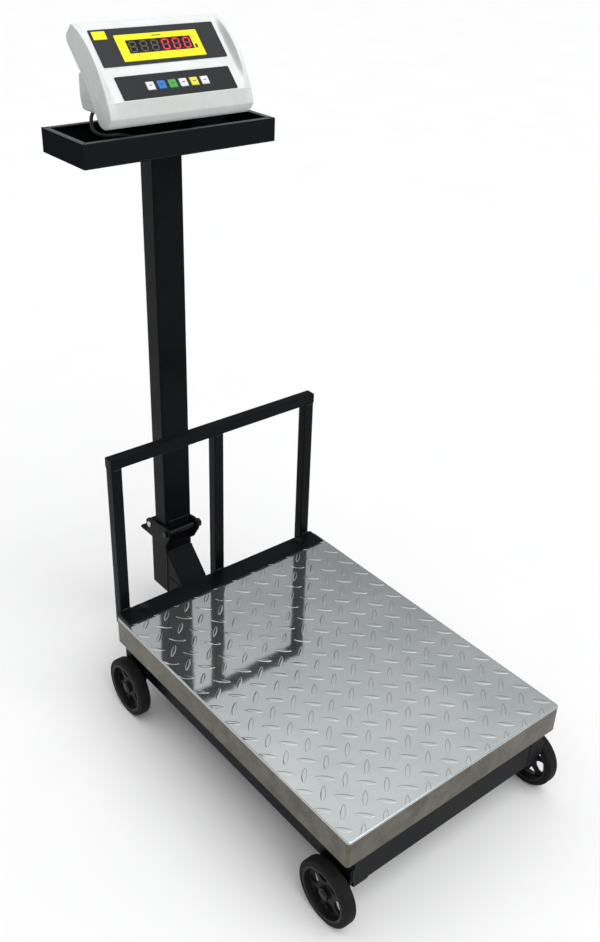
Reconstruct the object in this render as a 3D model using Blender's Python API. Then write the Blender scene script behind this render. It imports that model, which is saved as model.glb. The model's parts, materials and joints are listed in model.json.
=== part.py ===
"""Platform shipping scale: a wheeled base with a stainless chequer deck, a tubular guard along the
deck's rear edge, and a folding column that carries an indicator in a tray.

Metres, +Z up, +X to the right seen from the front. The origin is on the floor, under the middle of
the whole scale. Lengths are driven by the constants below; "deck y" means a distance behind the
middle of the deck.
"""

import math

import bmesh
import bpy
from mathutils import Vector

GAP = 0.0003  # clearance between pieces that touch

# Deck and its skirt
DECK_WIDTH = 0.450
DECK_LENGTH = 0.616
DECK_TOP = 0.191
DECK_SKIRT = 0.051
DECK_SHEET = 0.002
DECK_CORNER = 0.004
DECK_Y = -0.106  # deck middle, so that the origin is under the middle of the whole scale
DECK_TUBE = 0.025
DECK_BEAM_Y = 0.050
BEAM_WIDTH = 0.050
BEAM_SHEET = 0.004

# Base frame
BASE_HALF_WIDTH = 0.205
BASE_HALF_LENGTH = 0.302
BASE_BOTTOM = 0.079
BASE_TUBE_HEIGHT = 0.054
BASE_TUBE_WIDTH = 0.030
BASE_BEAM_Y = -0.050
BASE_BEAM_HEIGHT = 0.044
WALL = 0.0025

# Load cell
CELL_LENGTH = 0.150
CELL_WIDTH = 0.040
CELL_BOTTOM = 0.1233
CELL_TOP = 0.1634
CELL_BOLT_SPREAD = 0.012
CELL_BOLT_RADIUS = 0.003

# Wheels
WHEEL_RADIUS = 0.054
WHEEL_WIDTH = 0.022
WHEEL_INNER_X = 0.2125
FRONT_WHEEL_Y = -0.270
REAR_WHEEL_Y = 0.277
TYRE_INNER_RADIUS = 0.0455
TYRE_STEPS = 24
HUB_STEPS = 24
WINDOW_COUNT = 6
AXLE_RADIUS = 0.006

# Guard
GUARD_TOP = 0.4993
GUARD_TUBE = 0.0195
GUARD_HALF_WIDTH = 0.213
GUARD_FRONT_Y = 0.3129
FOOT_HALF_WIDTH = 0.218
FOOT_FRONT_Y = 0.273
FOOT_LEG_Y = 0.3086
FOOT_THICKNESS = 0.004
FOOT_DROP = 0.035
GUARD_BOLT_X = 0.176
GUARD_BOLT_Y = 0.298
GUARD_BOLT_RADIUS = 0.004

# Column, its stub and the fold joint between them
COLUMN_HALF_WIDTH = 0.029
COLUMN_FRONT_Y = 0.452
COLUMN_REAR_Y = 0.490
STUB_BOTTOM = 0.069
STUB_REAR_Y = 0.507
ARM_HEIGHT = 0.040
SADDLE_BOTTOM = 0.1833
SADDLE_SHEET = 0.005
SADDLE_REAR_Y = 0.536
EAR_INNER_X = 0.0296
EAR_THICKNESS = 0.005
FOLD_Y = 0.503
FOLD_Z = 0.208
FOLD_PIN_RADIUS = 0.004
CLAMP_Y = 0.444
CLAMP_Z = 0.215
CLAMP_ROD_RADIUS = 0.0045
CLAMP_KNOB_RADIUS = 0.0085
CLAMP_KNOB_LENGTH = 0.0095

# Tray on top of the column
TRAY_HALF_WIDTH = 0.1773
TRAY_FRONT_Y = 0.3996
TRAY_REAR_Y = 0.5292
TRAY_BOTTOM = 0.941
TRAY_TOP = 0.9785
TRAY_SHEET = 0.002
TRAY_WALL = 0.003
TRAY_RIM = 0.010

# Indicator: a slab leaning back, described by u down its face and n into its depth
SLAB_TOP_Y = 0.498
SLAB_TOP_Z = 1.129
SLAB_SLOPE = math.radians(45.4)
SLAB_HALF_WIDTH = 0.1305
SEAM_DEPTH = 0.026
NOSE_U = 0.139  # where the face panel ends and the nose begins
NOSE_TIP = (0.1585, 0.012)
NOSE_FOOT_U = 0.1605
CHEEK_TOP_X = 0.1245  # inner edge of a cheek's top
CHEEK_LEAN = 0.4
CHEEK_RISE = 0.013
CHEEK_START = (0.002, 0.0005)
CHEEK_PULL = (0.068, -0.032)  # the bowed edge runs from start to nose tip, drawn towards this
REAR_CURVE = (  # u, n round the back of the housing, from its lower end up
    (0.1600, 0.0330),
    (0.1555, 0.0410),
    (0.1480, 0.0465),
    (0.1390, 0.0480),
    (0.0960, 0.0375),
    (0.0600, 0.0340),
    (0.0080, 0.0335),
    (0.0000, 0.0275),
)
SHELL_WALL = 0.0025
HOUSING_HALF_WIDTH = 0.120
OVERLAY_THICKNESS = 0.0008
DISPLAY_OVERLAY = (0.1114, 0.016, 0.080)  # half width, u of its top edge, u of its bottom edge
KEYPAD_OVERLAY = (0.1030, 0.097, 0.137)
WINDOW = (-0.0574, 0.0588, 0.0377, 0.0609)  # left, right, u top, u bottom
KEY_PITCH = 0.0196
KEY_FIRST_X = -0.0487
KEY_U = 0.117
KEY_SIZE = 0.014
KEY_COUNT = 6
BOX_REAR_Y = 0.500
BOX_BOTTOM = 1.0012
BOX_TOP = 1.056
SWITCH_X = 0.080
SWITCH_Z = 1.037
SWITCH_TILT = math.radians(-9)  # switched off; it rocks twice this far to switch on
GLAND_X = -0.050
GLAND_Z = 1.040
CABLE_RADIUS = 0.0028

FINISHES = {
    "chequer_steel": ((0.62, 0.63, 0.64), 0.25, 1.0),
    "black_paint": ((0.018, 0.019, 0.022), 0.42, 0.0),
    "primed_steel": ((0.10, 0.10, 0.11), 0.55, 0.0),
    "aluminium": ((0.75, 0.76, 0.77), 0.35, 1.0),
    "zinc_steel": ((0.60, 0.60, 0.58), 0.35, 1.0),
    "black_wheel": ((0.03, 0.03, 0.032), 0.50, 0.0),
    "tyre_rubber": ((0.022, 0.022, 0.023), 0.75, 0.0),
    "white_plastic": ((0.80, 0.81, 0.79), 0.40, 0.0),
    "display_film": ((0.02, 0.022, 0.026), 0.25, 0.0),
    "display_red": ((0.55, 0.02, 0.02), 0.40, 0.0),
    "circuit_board": ((0.03, 0.20, 0.08), 0.50, 0.0),
    "key_white": ((0.85, 0.86, 0.86), 0.40, 0.0),
    "key_blue": ((0.02, 0.20, 0.70), 0.40, 0.0),
    "key_green": ((0.05, 0.50, 0.12), 0.40, 0.0),
    "key_yellow": ((0.90, 0.78, 0.05), 0.40, 0.0),
    "black_plastic": ((0.02, 0.02, 0.02), 0.45, 0.0),
    "cable_jacket": ((0.025, 0.025, 0.027), 0.60, 0.0),
}


# ---------------------------------------------------------------- coordinates


def along_x(a, b, t):
    """Outline in (deck y, z), run along X."""
    return Vector((t, DECK_Y + a, b))


def along_y(a, b, t):
    """Outline in (x, z), run along deck y."""
    return Vector((a, DECK_Y + t, b))


def along_z(a, b, t):
    """Outline in (x, deck y), run along Z."""
    return Vector((a, DECK_Y + b, t))


def in_slab(x, u, n):
    """A point of the indicator: u down its face from the top edge, n into its depth."""
    y = SLAB_TOP_Y - u * math.cos(SLAB_SLOPE) + n * math.sin(SLAB_SLOPE)
    z = SLAB_TOP_Z - u * math.sin(SLAB_SLOPE) - n * math.cos(SLAB_SLOPE)
    return Vector((x, DECK_Y + y, z))


def slab_side(u, n, x):
    """Side outline of the indicator in (u, n), run along X."""
    return in_slab(x, u, n)


# ---------------------------------------------------------------- solids


def add_prism(bm, outline, low, high, place):
    """A solid with the given outline between low and high."""
    ends = []
    for t in (low, high):
        ends.append([bm.verts.new(place(a, b, t)) for a, b in outline])
    count = len(outline)
    bm.faces.new(ends[0])
    bm.faces.new(reversed(ends[1]))
    for i in range(count):
        j = (i + 1) % count
        bm.faces.new((ends[0][j], ends[0][i], ends[1][i], ends[1][j]))


def add_box(bm, x, y, z):
    """A block; y is a pair of deck distances."""
    outline = [(x[0], y[0]), (x[1], y[0]), (x[1], y[1]), (x[0], y[1])]
    add_prism(bm, outline, z[0], z[1], along_z)


def add_ring(bm, outer, inner, low, high, place):
    """A solid between two outlines with the same number of points: a tube or a nut."""
    loops = []
    for outline in (outer, inner):
        for t in (low, high):
            loops.append([bm.verts.new(place(a, b, t)) for a, b in outline])
    outer_low, outer_high, inner_low, inner_high = loops
    count = len(outer)
    for i in range(count):
        j = (i + 1) % count
        bm.faces.new((outer_low[i], outer_low[j], outer_high[j], outer_high[i]))
        bm.faces.new((inner_low[j], inner_low[i], inner_high[i], inner_high[j]))
        bm.faces.new((outer_low[j], outer_low[i], inner_low[i], inner_low[j]))
        bm.faces.new((outer_high[i], outer_high[j], inner_high[j], inner_high[i]))


def add_turned(bm, profile, centre, axis, steps, ring=False):
    """Turn a profile of (radius, distance along the axis) round the axis; flats face down."""
    turn = Vector((0, 0, 1)).rotation_difference(Vector(axis)).to_matrix()
    start = Vector(centre)
    loops = []
    for radius, along in profile:
        loop = []
        for i in range(steps):
            angle = 2 * math.pi * (i + 0.5) / steps
            point = Vector((radius * math.cos(angle), radius * math.sin(angle), along))
            loop.append(bm.verts.new(start + turn @ point))
        loops.append(loop)
    pairs = list(zip(loops, loops[1:]))
    if ring:
        pairs.append((loops[-1], loops[0]))
    else:
        bm.faces.new(loops[0])
        bm.faces.new(reversed(loops[-1]))
    for first, second in pairs:
        for i in range(steps):
            j = (i + 1) % steps
            bm.faces.new((first[i], first[j], second[j], second[i]))


def rectangle(x, y):
    return [(x[0], y[0]), (x[1], y[0]), (x[1], y[1]), (x[0], y[1])]


def rounded_rectangle(half_x, half_y, radius, steps=3):
    """Outline in (x, y) round the origin with arcs at its corners."""
    points = []
    corners = ((1, 1, 0), (-1, 1, 90), (-1, -1, 180), (1, -1, 270))
    for sx, sy, first in corners:
        for i in range(steps + 1):
            angle = math.radians(first + 90 * i / steps)
            x = sx * (half_x - radius) + radius * math.cos(angle)
            y = sy * (half_y - radius) + radius * math.sin(angle)
            points.append((x, y))
    return points


def circle(centre, radius, steps):
    points = []
    for i in range(steps):
        angle = 2 * math.pi * i / steps
        points.append((centre[0] + radius * math.cos(angle), centre[1] + radius * math.sin(angle)))
    return points


def arc(centre, radius, first, last, steps):
    """Points on an arc, angles in degrees from the first outline axis."""
    points = []
    for i in range(steps + 1):
        angle = math.radians(first + (last - first) * i / steps)
        points.append((centre[0] + radius * math.cos(angle), centre[1] + radius * math.sin(angle)))
    return points


def hexagon(centre, across_flats):
    """A hexagon with a point in the middle of each side, to pair with a circle of 12 points."""
    corners = circle(centre, across_flats / math.sqrt(3), 6)
    points = []
    for a, b in zip(corners, corners[1:] + corners[:1]):
        points.append(a)
        points.append(((a[0] + b[0]) / 2, (a[1] + b[1]) / 2))
    return points


def add_bolt(bm, place, centre, radius, across_flats, head, end, nut=None):
    """A bolt with its head between two distances, a shank to its end, and perhaps its nut."""
    sides = 12
    hex_points = hexagon(centre, across_flats)
    round_points = circle(centre, radius, sides)
    sections = [(hex_points, head[0]), (hex_points, head[1]), (round_points, head[1])]
    if nut:
        sections += [(round_points, nut[0]), (hex_points, nut[0])]
        sections += [(hex_points, nut[1]), (round_points, nut[1])]
    sections.append((round_points, end))
    loops = []
    for outline, t in sections:
        loops.append([bm.verts.new(place(a, b, t)) for a, b in outline])
    bm.faces.new(loops[0])
    bm.faces.new(reversed(loops[-1]))
    for first, second in zip(loops, loops[1:]):
        for i in range(sides):
            j = (i + 1) % sides
            bm.faces.new((first[i], first[j], second[j], second[i]))


# ---------------------------------------------------------------- objects


def finish_material(name):
    found = bpy.data.materials.get(name)
    if found:
        return found
    colour, roughness, metallic = FINISHES[name]
    made = bpy.data.materials.new(name)
    made.use_nodes = True
    shader = made.node_tree.nodes["Principled BSDF"]
    shader.inputs["Base Color"].default_value = (*colour, 1.0)
    shader.inputs["Roughness"].default_value = roughness
    shader.inputs["Metallic"].default_value = metallic
    return made


def pivot(name, location):
    """An empty on a joint's axis; the pieces that move about it are its children."""
    empty = bpy.data.objects.new(name, None)
    empty.empty_display_size = 0.03
    empty.location = location
    bpy.context.scene.collection.objects.link(empty)
    return empty


def piece(name, bm, finish, on=None):
    """Turn a bmesh, drawn in world coordinates, into a named object, on a pivot if one is given."""
    bmesh.ops.recalc_face_normals(bm, faces=bm.faces)
    if on:
        bmesh.ops.translate(bm, verts=bm.verts, vec=-on.location)
    mesh = bpy.data.meshes.new(name)
    bm.to_mesh(mesh)
    bm.free()
    mesh.materials.append(finish_material(finish))
    mesh.shade_smooth()
    mesh.set_sharp_from_angle(angle=math.radians(35))
    obj = bpy.data.objects.new(name, mesh)
    bpy.context.scene.collection.objects.link(obj)
    if on:
        obj.parent = on
    return obj


def combine(obj, bm, operation="DIFFERENCE", on=None):
    """Cut another solid out of an object, or join it on, with an exact Boolean."""
    tool = piece(obj.name + "_tool_" + str(len(obj.modifiers)), bm, "primed_steel", on)
    tool.hide_render = True
    tool.display_type = "WIRE"
    change = obj.modifiers.new(operation.title(), "BOOLEAN")
    change.operation = operation
    change.solver = "EXACT"
    change.object = tool
    return obj


def square_tube(name, x, y, z, run, finish, on=None, wall=WALL):
    """A hollow rectangular tube filling the given box, open at both ends along its run."""
    bm = bmesh.new()
    spans = {"x": (y, z, x, along_x), "y": (x, z, y, along_y), "z": (x, y, z, along_z)}
    a, b, length, place = spans[run]
    inner = rectangle((a[0] + wall, a[1] - wall), (b[0] + wall, b[1] - wall))
    add_ring(bm, rectangle(a, b), inner, length[0], length[1], place)
    return piece(name, bm, finish, on)


# ---------------------------------------------------------------- deck


def make_deck_plate():
    """Folded pan with a skirt on its four sides; the guard's foot sits in a shallow seat."""
    half_x, half_y = DECK_WIDTH / 2, DECK_LENGTH / 2
    outer = rounded_rectangle(half_x, half_y, DECK_CORNER)
    inner = rounded_rectangle(half_x - DECK_SHEET, half_y - DECK_SHEET, DECK_CORNER - DECK_SHEET)
    bottom = DECK_TOP - DECK_SKIRT
    bm = bmesh.new()
    levels = ((outer, DECK_TOP), (outer, bottom), (inner, bottom), (inner, DECK_TOP - DECK_SHEET))
    loops = []
    for outline, z in levels:
        loops.append([bm.verts.new(along_z(a, b, z)) for a, b in outline])
    bm.faces.new(loops[0])
    bm.faces.new(reversed(loops[-1]))
    count = len(outer)
    for first, second in zip(loops, loops[1:]):
        for i in range(count):
            j = (i + 1) % count
            bm.faces.new((first[i], first[j], second[j], second[i]))
    plate = piece("deck_plate", bm, "chequer_steel")
    combine(plate, guard_bolt_holes())
    strip = bmesh.new()
    add_box(strip, (-0.3, 0.3), (FOOT_FRONT_Y - GAP, 0.4), (DECK_TOP - GAP, DECK_TOP + 0.01))
    return combine(plate, strip)


def guard_bolt_holes():
    """Clearance holes for the two bolts that hold the guard on the deck."""
    bm = bmesh.new()
    for side in (-1, 1):
        hole = circle((side * GUARD_BOLT_X, GUARD_BOLT_Y), GUARD_BOLT_RADIUS + 0.0004, 12)
        add_prism(bm, hole, DECK_TOP - 0.060, DECK_TOP + 0.010, along_z)
    return bm


def make_deck_frame():
    """Tubes under the sheet: two side rails, two cross rails and the load cell's beam."""
    top = DECK_TOP - DECK_SHEET - GAP
    z = (top - DECK_TUBE, top)
    outer_x = DECK_WIDTH / 2 - DECK_SHEET - GAP
    inner_x = outer_x - DECK_TUBE
    half_y = DECK_LENGTH / 2 - DECK_SHEET - GAP
    for side, name in ((-1, "deck_rail_left"), (1, "deck_rail_right")):
        x = sorted((side * inner_x, side * outer_x))
        length = half_y - 0.0015
        square_tube(name, x, (-length, length), z, "y", "primed_steel")
    cross_x = (-inner_x + GAP, inner_x - GAP)
    square_tube("deck_cross_front", cross_x, (-half_y, -half_y + DECK_TUBE), z, "x", "primed_steel")
    rear = square_tube("deck_cross_rear", cross_x, (half_y - DECK_TUBE, half_y), z, "x",
                       "primed_steel")
    combine(rear, guard_bolt_holes())
    beam = channel("deck_centre_beam", cross_x, DECK_BEAM_Y, z, open_up=True)
    combine(beam, cell_bolt_holes(DECK_BEAM_Y))


def channel(name, x, middle_y, z, open_up):
    """A U-section beam along X with its web at the bottom (open_up) or at the top."""
    wall = BEAM_SHEET
    y = (middle_y - BEAM_WIDTH / 2, middle_y + BEAM_WIDTH / 2)
    web, lips = (z[0], z[1]) if open_up else (z[1], z[0])
    inset = wall if open_up else -wall
    outline = [
        (y[0], web),
        (y[1], web),
        (y[1], lips),
        (y[1] - wall, lips),
        (y[1] - wall, web + inset),
        (y[0] + wall, web + inset),
        (y[0] + wall, lips),
        (y[0], lips),
    ]
    bm = bmesh.new()
    add_prism(bm, outline, x[0], x[1], along_x)
    return piece(name, bm, "primed_steel")


# ---------------------------------------------------------------- load cell


def cell_bolt_holes(beam_y):
    bm = bmesh.new()
    for offset in (-CELL_BOLT_SPREAD, CELL_BOLT_SPREAD):
        hole = circle((0.0, beam_y + offset), CELL_BOLT_RADIUS + 0.0004, 10)
        add_prism(bm, hole, BASE_BOTTOM, DECK_TOP - DECK_SHEET, along_z)
    return bm


def make_load_cell():
    """Single-point cell: a block with two joined cross bores, bolted at its two ends."""
    half_y, half_x = CELL_LENGTH / 2, CELL_WIDTH / 2
    middle_z = (CELL_BOTTOM + CELL_TOP) / 2
    bm = bmesh.new()
    add_box(bm, (-half_x, half_x), (-half_y, half_y), (CELL_BOTTOM, CELL_TOP))
    cell = piece("load_cell", bm, "aluminium")
    bores = arc((0.018, middle_z), 0.0135, -150, 150, 9)
    bores += arc((-0.018, middle_z), 0.0135, 30, 330, 9)
    bm = bmesh.new()
    add_prism(bm, bores, -half_x - 0.01, half_x + 0.01, along_x)
    combine(cell, bm)
    holes = bmesh.new()
    for beam_y, low, high in (
        (DECK_BEAM_Y, middle_z + 0.002, CELL_TOP + 0.01),
        (BASE_BEAM_Y, CELL_BOTTOM - 0.01, middle_z - 0.002),
    ):
        for offset in (-CELL_BOLT_SPREAD, CELL_BOLT_SPREAD):
            hole = circle((0.0, beam_y + offset), CELL_BOLT_RADIUS + 0.0003, 10)
            add_prism(holes, hole, low, high, along_z)
    combine(cell, holes)

    web_top = DECK_TOP - DECK_SHEET - GAP - DECK_TUBE + BEAM_SHEET + GAP
    web_bottom = BASE_BOTTOM + BASE_BEAM_HEIGHT - BEAM_SHEET - GAP
    make_cell_clamp("load_cell_clamp_upper", DECK_BEAM_Y, web_top, middle_z + 0.004)
    make_cell_clamp("load_cell_clamp_lower", BASE_BEAM_Y, web_bottom, middle_z - 0.004)


def make_cell_clamp(name, beam_y, seat, end):
    """Backing plate with two bolts through a beam's web into one end of the cell."""
    thickness = 0.005 if seat > end else -0.005
    plate = bmesh.new()
    y = (beam_y - 0.020, beam_y + 0.020)
    add_box(plate, (-0.015, 0.015), y, sorted((seat, seat + thickness)))
    clamp = piece(name, plate, "zinc_steel")
    bolts = bmesh.new()
    for offset in (-CELL_BOLT_SPREAD, CELL_BOLT_SPREAD):
        head = (seat + 1.8 * thickness, seat + thickness * 0.9)
        centre = (0.0, beam_y + offset)
        add_bolt(bolts, along_z, centre, CELL_BOLT_RADIUS, 0.010, head, end)
    combine(clamp, bolts, "UNION")


# ---------------------------------------------------------------- base and wheels


def make_base_frame():
    """Welded base: two side rails, two cross rails and the load cell's lower beam."""
    z = (BASE_BOTTOM, BASE_BOTTOM + BASE_TUBE_HEIGHT)
    inner_x = BASE_HALF_WIDTH - BASE_TUBE_WIDTH
    for side, name in ((-1, "base_rail_left"), (1, "base_rail_right")):
        x = sorted((side * inner_x, side * BASE_HALF_WIDTH))
        square_tube(name, x, (-BASE_HALF_LENGTH, BASE_HALF_LENGTH), z, "y", "black_paint")
    cross_x = (-inner_x + GAP, inner_x - GAP)
    front = (-BASE_HALF_LENGTH, -BASE_HALF_LENGTH + BASE_TUBE_WIDTH)
    rear = (BASE_HALF_LENGTH - BASE_TUBE_WIDTH, BASE_HALF_LENGTH)
    square_tube("base_cross_front", cross_x, front, z, "x", "black_paint")
    square_tube("base_cross_rear", cross_x, rear, z, "x", "black_paint")
    beam_z = (BASE_BOTTOM, BASE_BOTTOM + BASE_BEAM_HEIGHT)
    beam = channel("base_centre_beam", cross_x, BASE_BEAM_Y, beam_z, open_up=False)
    combine(beam, cell_bolt_holes(BASE_BEAM_Y))


def wheel_places():
    """Side (-1 left, 1 right), deck y and name of each wheel."""
    return (
        (-1, FRONT_WHEEL_Y, "front_left"),
        (1, FRONT_WHEEL_Y, "front_right"),
        (-1, REAR_WHEEL_Y, "rear_left"),
        (1, REAR_WHEEL_Y, "rear_right"),
    )


def make_axle(side, y, name):
    """Plate welded on the side rail, with the bolt and nut that the wheel turns on."""
    plate_x = BASE_HALF_WIDTH + GAP
    thickness = 0.005
    outline = arc((y, WHEEL_RADIUS), 0.020, 180, 360, 6)
    outline += [(y + 0.032, BASE_BOTTOM + 0.012), (y + 0.032, BASE_BOTTOM + 0.040)]
    outline += [(y - 0.032, BASE_BOTTOM + 0.040), (y - 0.032, BASE_BOTTOM + 0.012)]
    bm = bmesh.new()
    add_prism(bm, outline, side * plate_x, side * (plate_x + thickness), along_x)
    axle = piece("axle_" + name, bm, "black_paint")
    head = (side * (plate_x - 0.008), side * (plate_x + 0.001))
    nut_x = WHEEL_INNER_X + 0.015
    nut = (side * nut_x, side * (nut_x + 0.006))
    bolt = bmesh.new()
    add_bolt(bolt, along_x, (y, WHEEL_RADIUS), AXLE_RADIUS, 0.019, head, side * (nut_x + 0.0065),
             nut)
    combine(axle, bolt, "UNION")


def make_wheel(side, y, name):
    """A spoked hub with a rubber tyre, turning on its axle along X."""
    middle_x = side * (WHEEL_INNER_X + WHEEL_WIDTH / 2)
    spin = pivot("spin_" + name, (middle_x, DECK_Y + y, WHEEL_RADIUS))
    half = WHEEL_WIDTH / 2
    axis = (side, 0, 0)
    shoulder = 0.0035
    tyre_half = half - 0.0005
    profile = [
        (TYRE_INNER_RADIUS + GAP, -tyre_half),
        (WHEEL_RADIUS - shoulder, -tyre_half),
        (WHEEL_RADIUS, -tyre_half + shoulder),
        (WHEEL_RADIUS, tyre_half - shoulder),
        (WHEEL_RADIUS - shoulder, tyre_half),
        (TYRE_INNER_RADIUS + GAP, tyre_half),
    ]
    bm = bmesh.new()
    add_turned(bm, flats(profile), spin.location, axis, TYRE_STEPS, ring=True)
    piece("tyre_" + name, bm, "tyre_rubber", spin)

    web, boss, rim = 0.003, 0.014, 0.0395
    bore = AXLE_RADIUS + 0.0004
    outer_boss = 0.0145 - half
    profile = [
        (TYRE_INNER_RADIUS, -half),
        (TYRE_INNER_RADIUS, half),
        (rim, half),
        (rim, web),
        (boss, web),
        (boss, outer_boss),
        (bore, outer_boss),
        (bore, -half),
        (boss, -half),
        (boss, -web),
        (rim, -web),
        (rim, -half),
    ]
    bm = bmesh.new()
    add_turned(bm, flats(profile), spin.location, axis, HUB_STEPS, ring=True)
    hub = piece("wheel_" + name, bm, "black_wheel", spin)
    windows = bmesh.new()
    for i in range(WINDOW_COUNT):
        middle = 360 * i / WINDOW_COUNT + 12
        outline = arc((y, WHEEL_RADIUS), 0.0375, middle - 23, middle + 23, 3)
        outline += arc((y, WHEEL_RADIUS), 0.0185, middle + 17, middle - 17, 2)
        add_prism(windows, outline, middle_x - 0.008, middle_x + 0.008, along_x)
    combine(hub, windows, on=spin)


def flats(profile):
    """Scale radii so that a turned shape's flats, not its corners, are at the stated radius."""
    stretch = 1 / math.cos(math.pi / TYRE_STEPS)
    return [(radius * stretch, along) for radius, along in profile]


# ---------------------------------------------------------------- guard


def make_guard():
    """Three posts and a top rail on an angle bar that is bolted along the deck's rear edge."""
    rear_y = GUARD_FRONT_Y + GUARD_TUBE
    rail_bottom = GUARD_TOP - GUARD_TUBE
    y = (GUARD_FRONT_Y, rear_y)
    rail_x = (-GUARD_HALF_WIDTH, GUARD_HALF_WIDTH)
    square_tube("guard_top_rail", rail_x, y, (rail_bottom, GUARD_TOP), "x", "black_paint")
    starts = (
        ("guard_post_left", -GUARD_HALF_WIDTH),
        ("guard_post_middle", -GUARD_TUBE / 2),
        ("guard_post_right", GUARD_HALF_WIDTH - GUARD_TUBE),
    )
    for name, x in starts:
        post_z = (DECK_TOP - 0.030, rail_bottom - GAP)
        square_tube(name, (x, x + GUARD_TUBE), y, post_z, "z", "black_paint")

    low = DECK_TOP
    high = low + FOOT_THICKNESS
    leg_rear = GUARD_FRONT_Y - GAP
    leg_bottom = DECK_TOP - FOOT_DROP
    outline = [
        (FOOT_FRONT_Y, low),
        (FOOT_LEG_Y, low),
        (FOOT_LEG_Y, leg_bottom),
        (leg_rear, leg_bottom),
        (leg_rear, high),
        (FOOT_FRONT_Y, high),
    ]
    bm = bmesh.new()
    add_prism(bm, outline, -FOOT_HALF_WIDTH, FOOT_HALF_WIDTH, along_x)
    foot = piece("guard_foot_bar", bm, "black_paint")
    combine(foot, guard_bolt_holes())

    head = high + GAP
    under = DECK_TOP - DECK_SHEET - GAP - DECK_TUBE - GAP
    for side, name in ((-1, "guard_bolt_left"), (1, "guard_bolt_right")):
        bm = bmesh.new()
        centre = (side * GUARD_BOLT_X, GUARD_BOLT_Y)
        add_bolt(bm, along_z, centre, GUARD_BOLT_RADIUS, 0.013, (head + 0.0053, head),
                 under - 0.0085, (under, under - 0.0065))
        piece(name, bm, "black_paint")


# ---------------------------------------------------------------- column and its fold joint


def make_column_foot():
    """Arm, stub and brace, welded to the base behind the deck."""
    arm_z = (STUB_BOTTOM, STUB_BOTTOM + ARM_HEIGHT)
    arm_y = (BASE_HALF_LENGTH + GAP, COLUMN_FRONT_Y - GAP)
    square_tube("column_arm", (-0.030, 0.030), arm_y, arm_z, "y", "black_paint")
    stub_x = (-COLUMN_HALF_WIDTH, COLUMN_HALF_WIDTH)
    stub_y = (COLUMN_FRONT_Y, STUB_REAR_Y)
    stub_z = (STUB_BOTTOM, SADDLE_BOTTOM - GAP)
    stub = square_tube("column_stub", stub_x, stub_y, stub_z, "z", "black_paint")
    hole = bmesh.new()
    outline = circle((0.0, STUB_BOTTOM + ARM_HEIGHT / 2), 0.010, 10)
    add_prism(hole, outline, COLUMN_FRONT_Y - 0.003, COLUMN_FRONT_Y + 0.006, along_y)
    combine(stub, hole)

    foot_z = arm_z[1] + GAP
    rise = 0.057
    edge_y = COLUMN_FRONT_Y - GAP
    outline = [(edge_y, foot_z), (edge_y, foot_z + rise), (edge_y - rise, foot_z)]
    bm = bmesh.new()
    add_prism(bm, outline, -COLUMN_HALF_WIDTH, COLUMN_HALF_WIDTH, along_x)
    brace = piece("column_brace", bm, "black_paint")
    sheet = 0.004
    inset = sheet * math.sqrt(2)
    hollow = [
        (edge_y + 0.01, foot_z - 0.01),
        (edge_y + 0.01, foot_z + rise - inset + 0.01),
        (edge_y - rise + inset - 0.01, foot_z - 0.01),
    ]
    bm = bmesh.new()
    add_prism(bm, hollow, -COLUMN_HALF_WIDTH + sheet, COLUMN_HALF_WIDTH - sheet, along_x)
    combine(brace, bm)


def ear_outline():
    """Side outline of a saddle ear: round over the fold pin, round over the clamp rod."""
    bottom = SADDLE_BOTTOM + 0.001
    outline = [(CLAMP_Y + 0.004, bottom), (FOLD_Y + 0.010, bottom)]
    outline += arc((FOLD_Y, FOLD_Z), 0.0125, -20, 80, 5)
    outline += arc((CLAMP_Y + 0.003, CLAMP_Z - 0.001), 0.0155, 95, 230, 7)
    return outline


def cross_bore(y, z, radius, reach):
    """A round cutter along X."""
    bm = bmesh.new()
    add_prism(bm, circle((y, z), radius, 12), -reach, reach, along_x)
    return bm


def make_fold_joint(clamp):
    """Saddle with two ears on the stub, and the pin that the column folds on."""
    outer_x = EAR_INNER_X + EAR_THICKNESS
    plate_y = (COLUMN_FRONT_Y - 0.004, SADDLE_REAR_Y)
    bm = bmesh.new()
    add_box(bm, (-outer_x, outer_x), plate_y, (SADDLE_BOTTOM, SADDLE_BOTTOM + SADDLE_SHEET))
    saddle = piece("hinge_saddle", bm, "black_paint")
    ears = bmesh.new()
    for side in (-1, 1):
        add_prism(ears, ear_outline(), side * EAR_INNER_X, side * outer_x, along_x)
    combine(saddle, ears, "UNION")
    combine(saddle, cross_bore(FOLD_Y, FOLD_Z, FOLD_PIN_RADIUS + 0.0003, 0.05))
    combine(saddle, cross_bore(CLAMP_Y, CLAMP_Z, CLAMP_ROD_RADIUS + 0.0003, 0.05))
    hole = bmesh.new()
    middle_y = (COLUMN_FRONT_Y + COLUMN_REAR_Y) / 2
    add_prism(hole, circle((0.0, middle_y), 0.008, 10), SADDLE_BOTTOM - 0.01, SADDLE_BOTTOM + 0.01,
              along_z)
    combine(saddle, hole)

    head_x = outer_x + GAP
    profile = [(0.0062, -head_x - 0.0022), (0.0062, -head_x), (FOLD_PIN_RADIUS, -head_x)]
    profile += [(FOLD_PIN_RADIUS, head_x), (0.0062, head_x), (0.0062, head_x + 0.0022)]
    bm = bmesh.new()
    add_turned(bm, profile, (0, DECK_Y + FOLD_Y, FOLD_Z), (1, 0, 0), 14)
    piece("fold_pin", bm, "zinc_steel")

    make_clamp(clamp, head_x)


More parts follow.
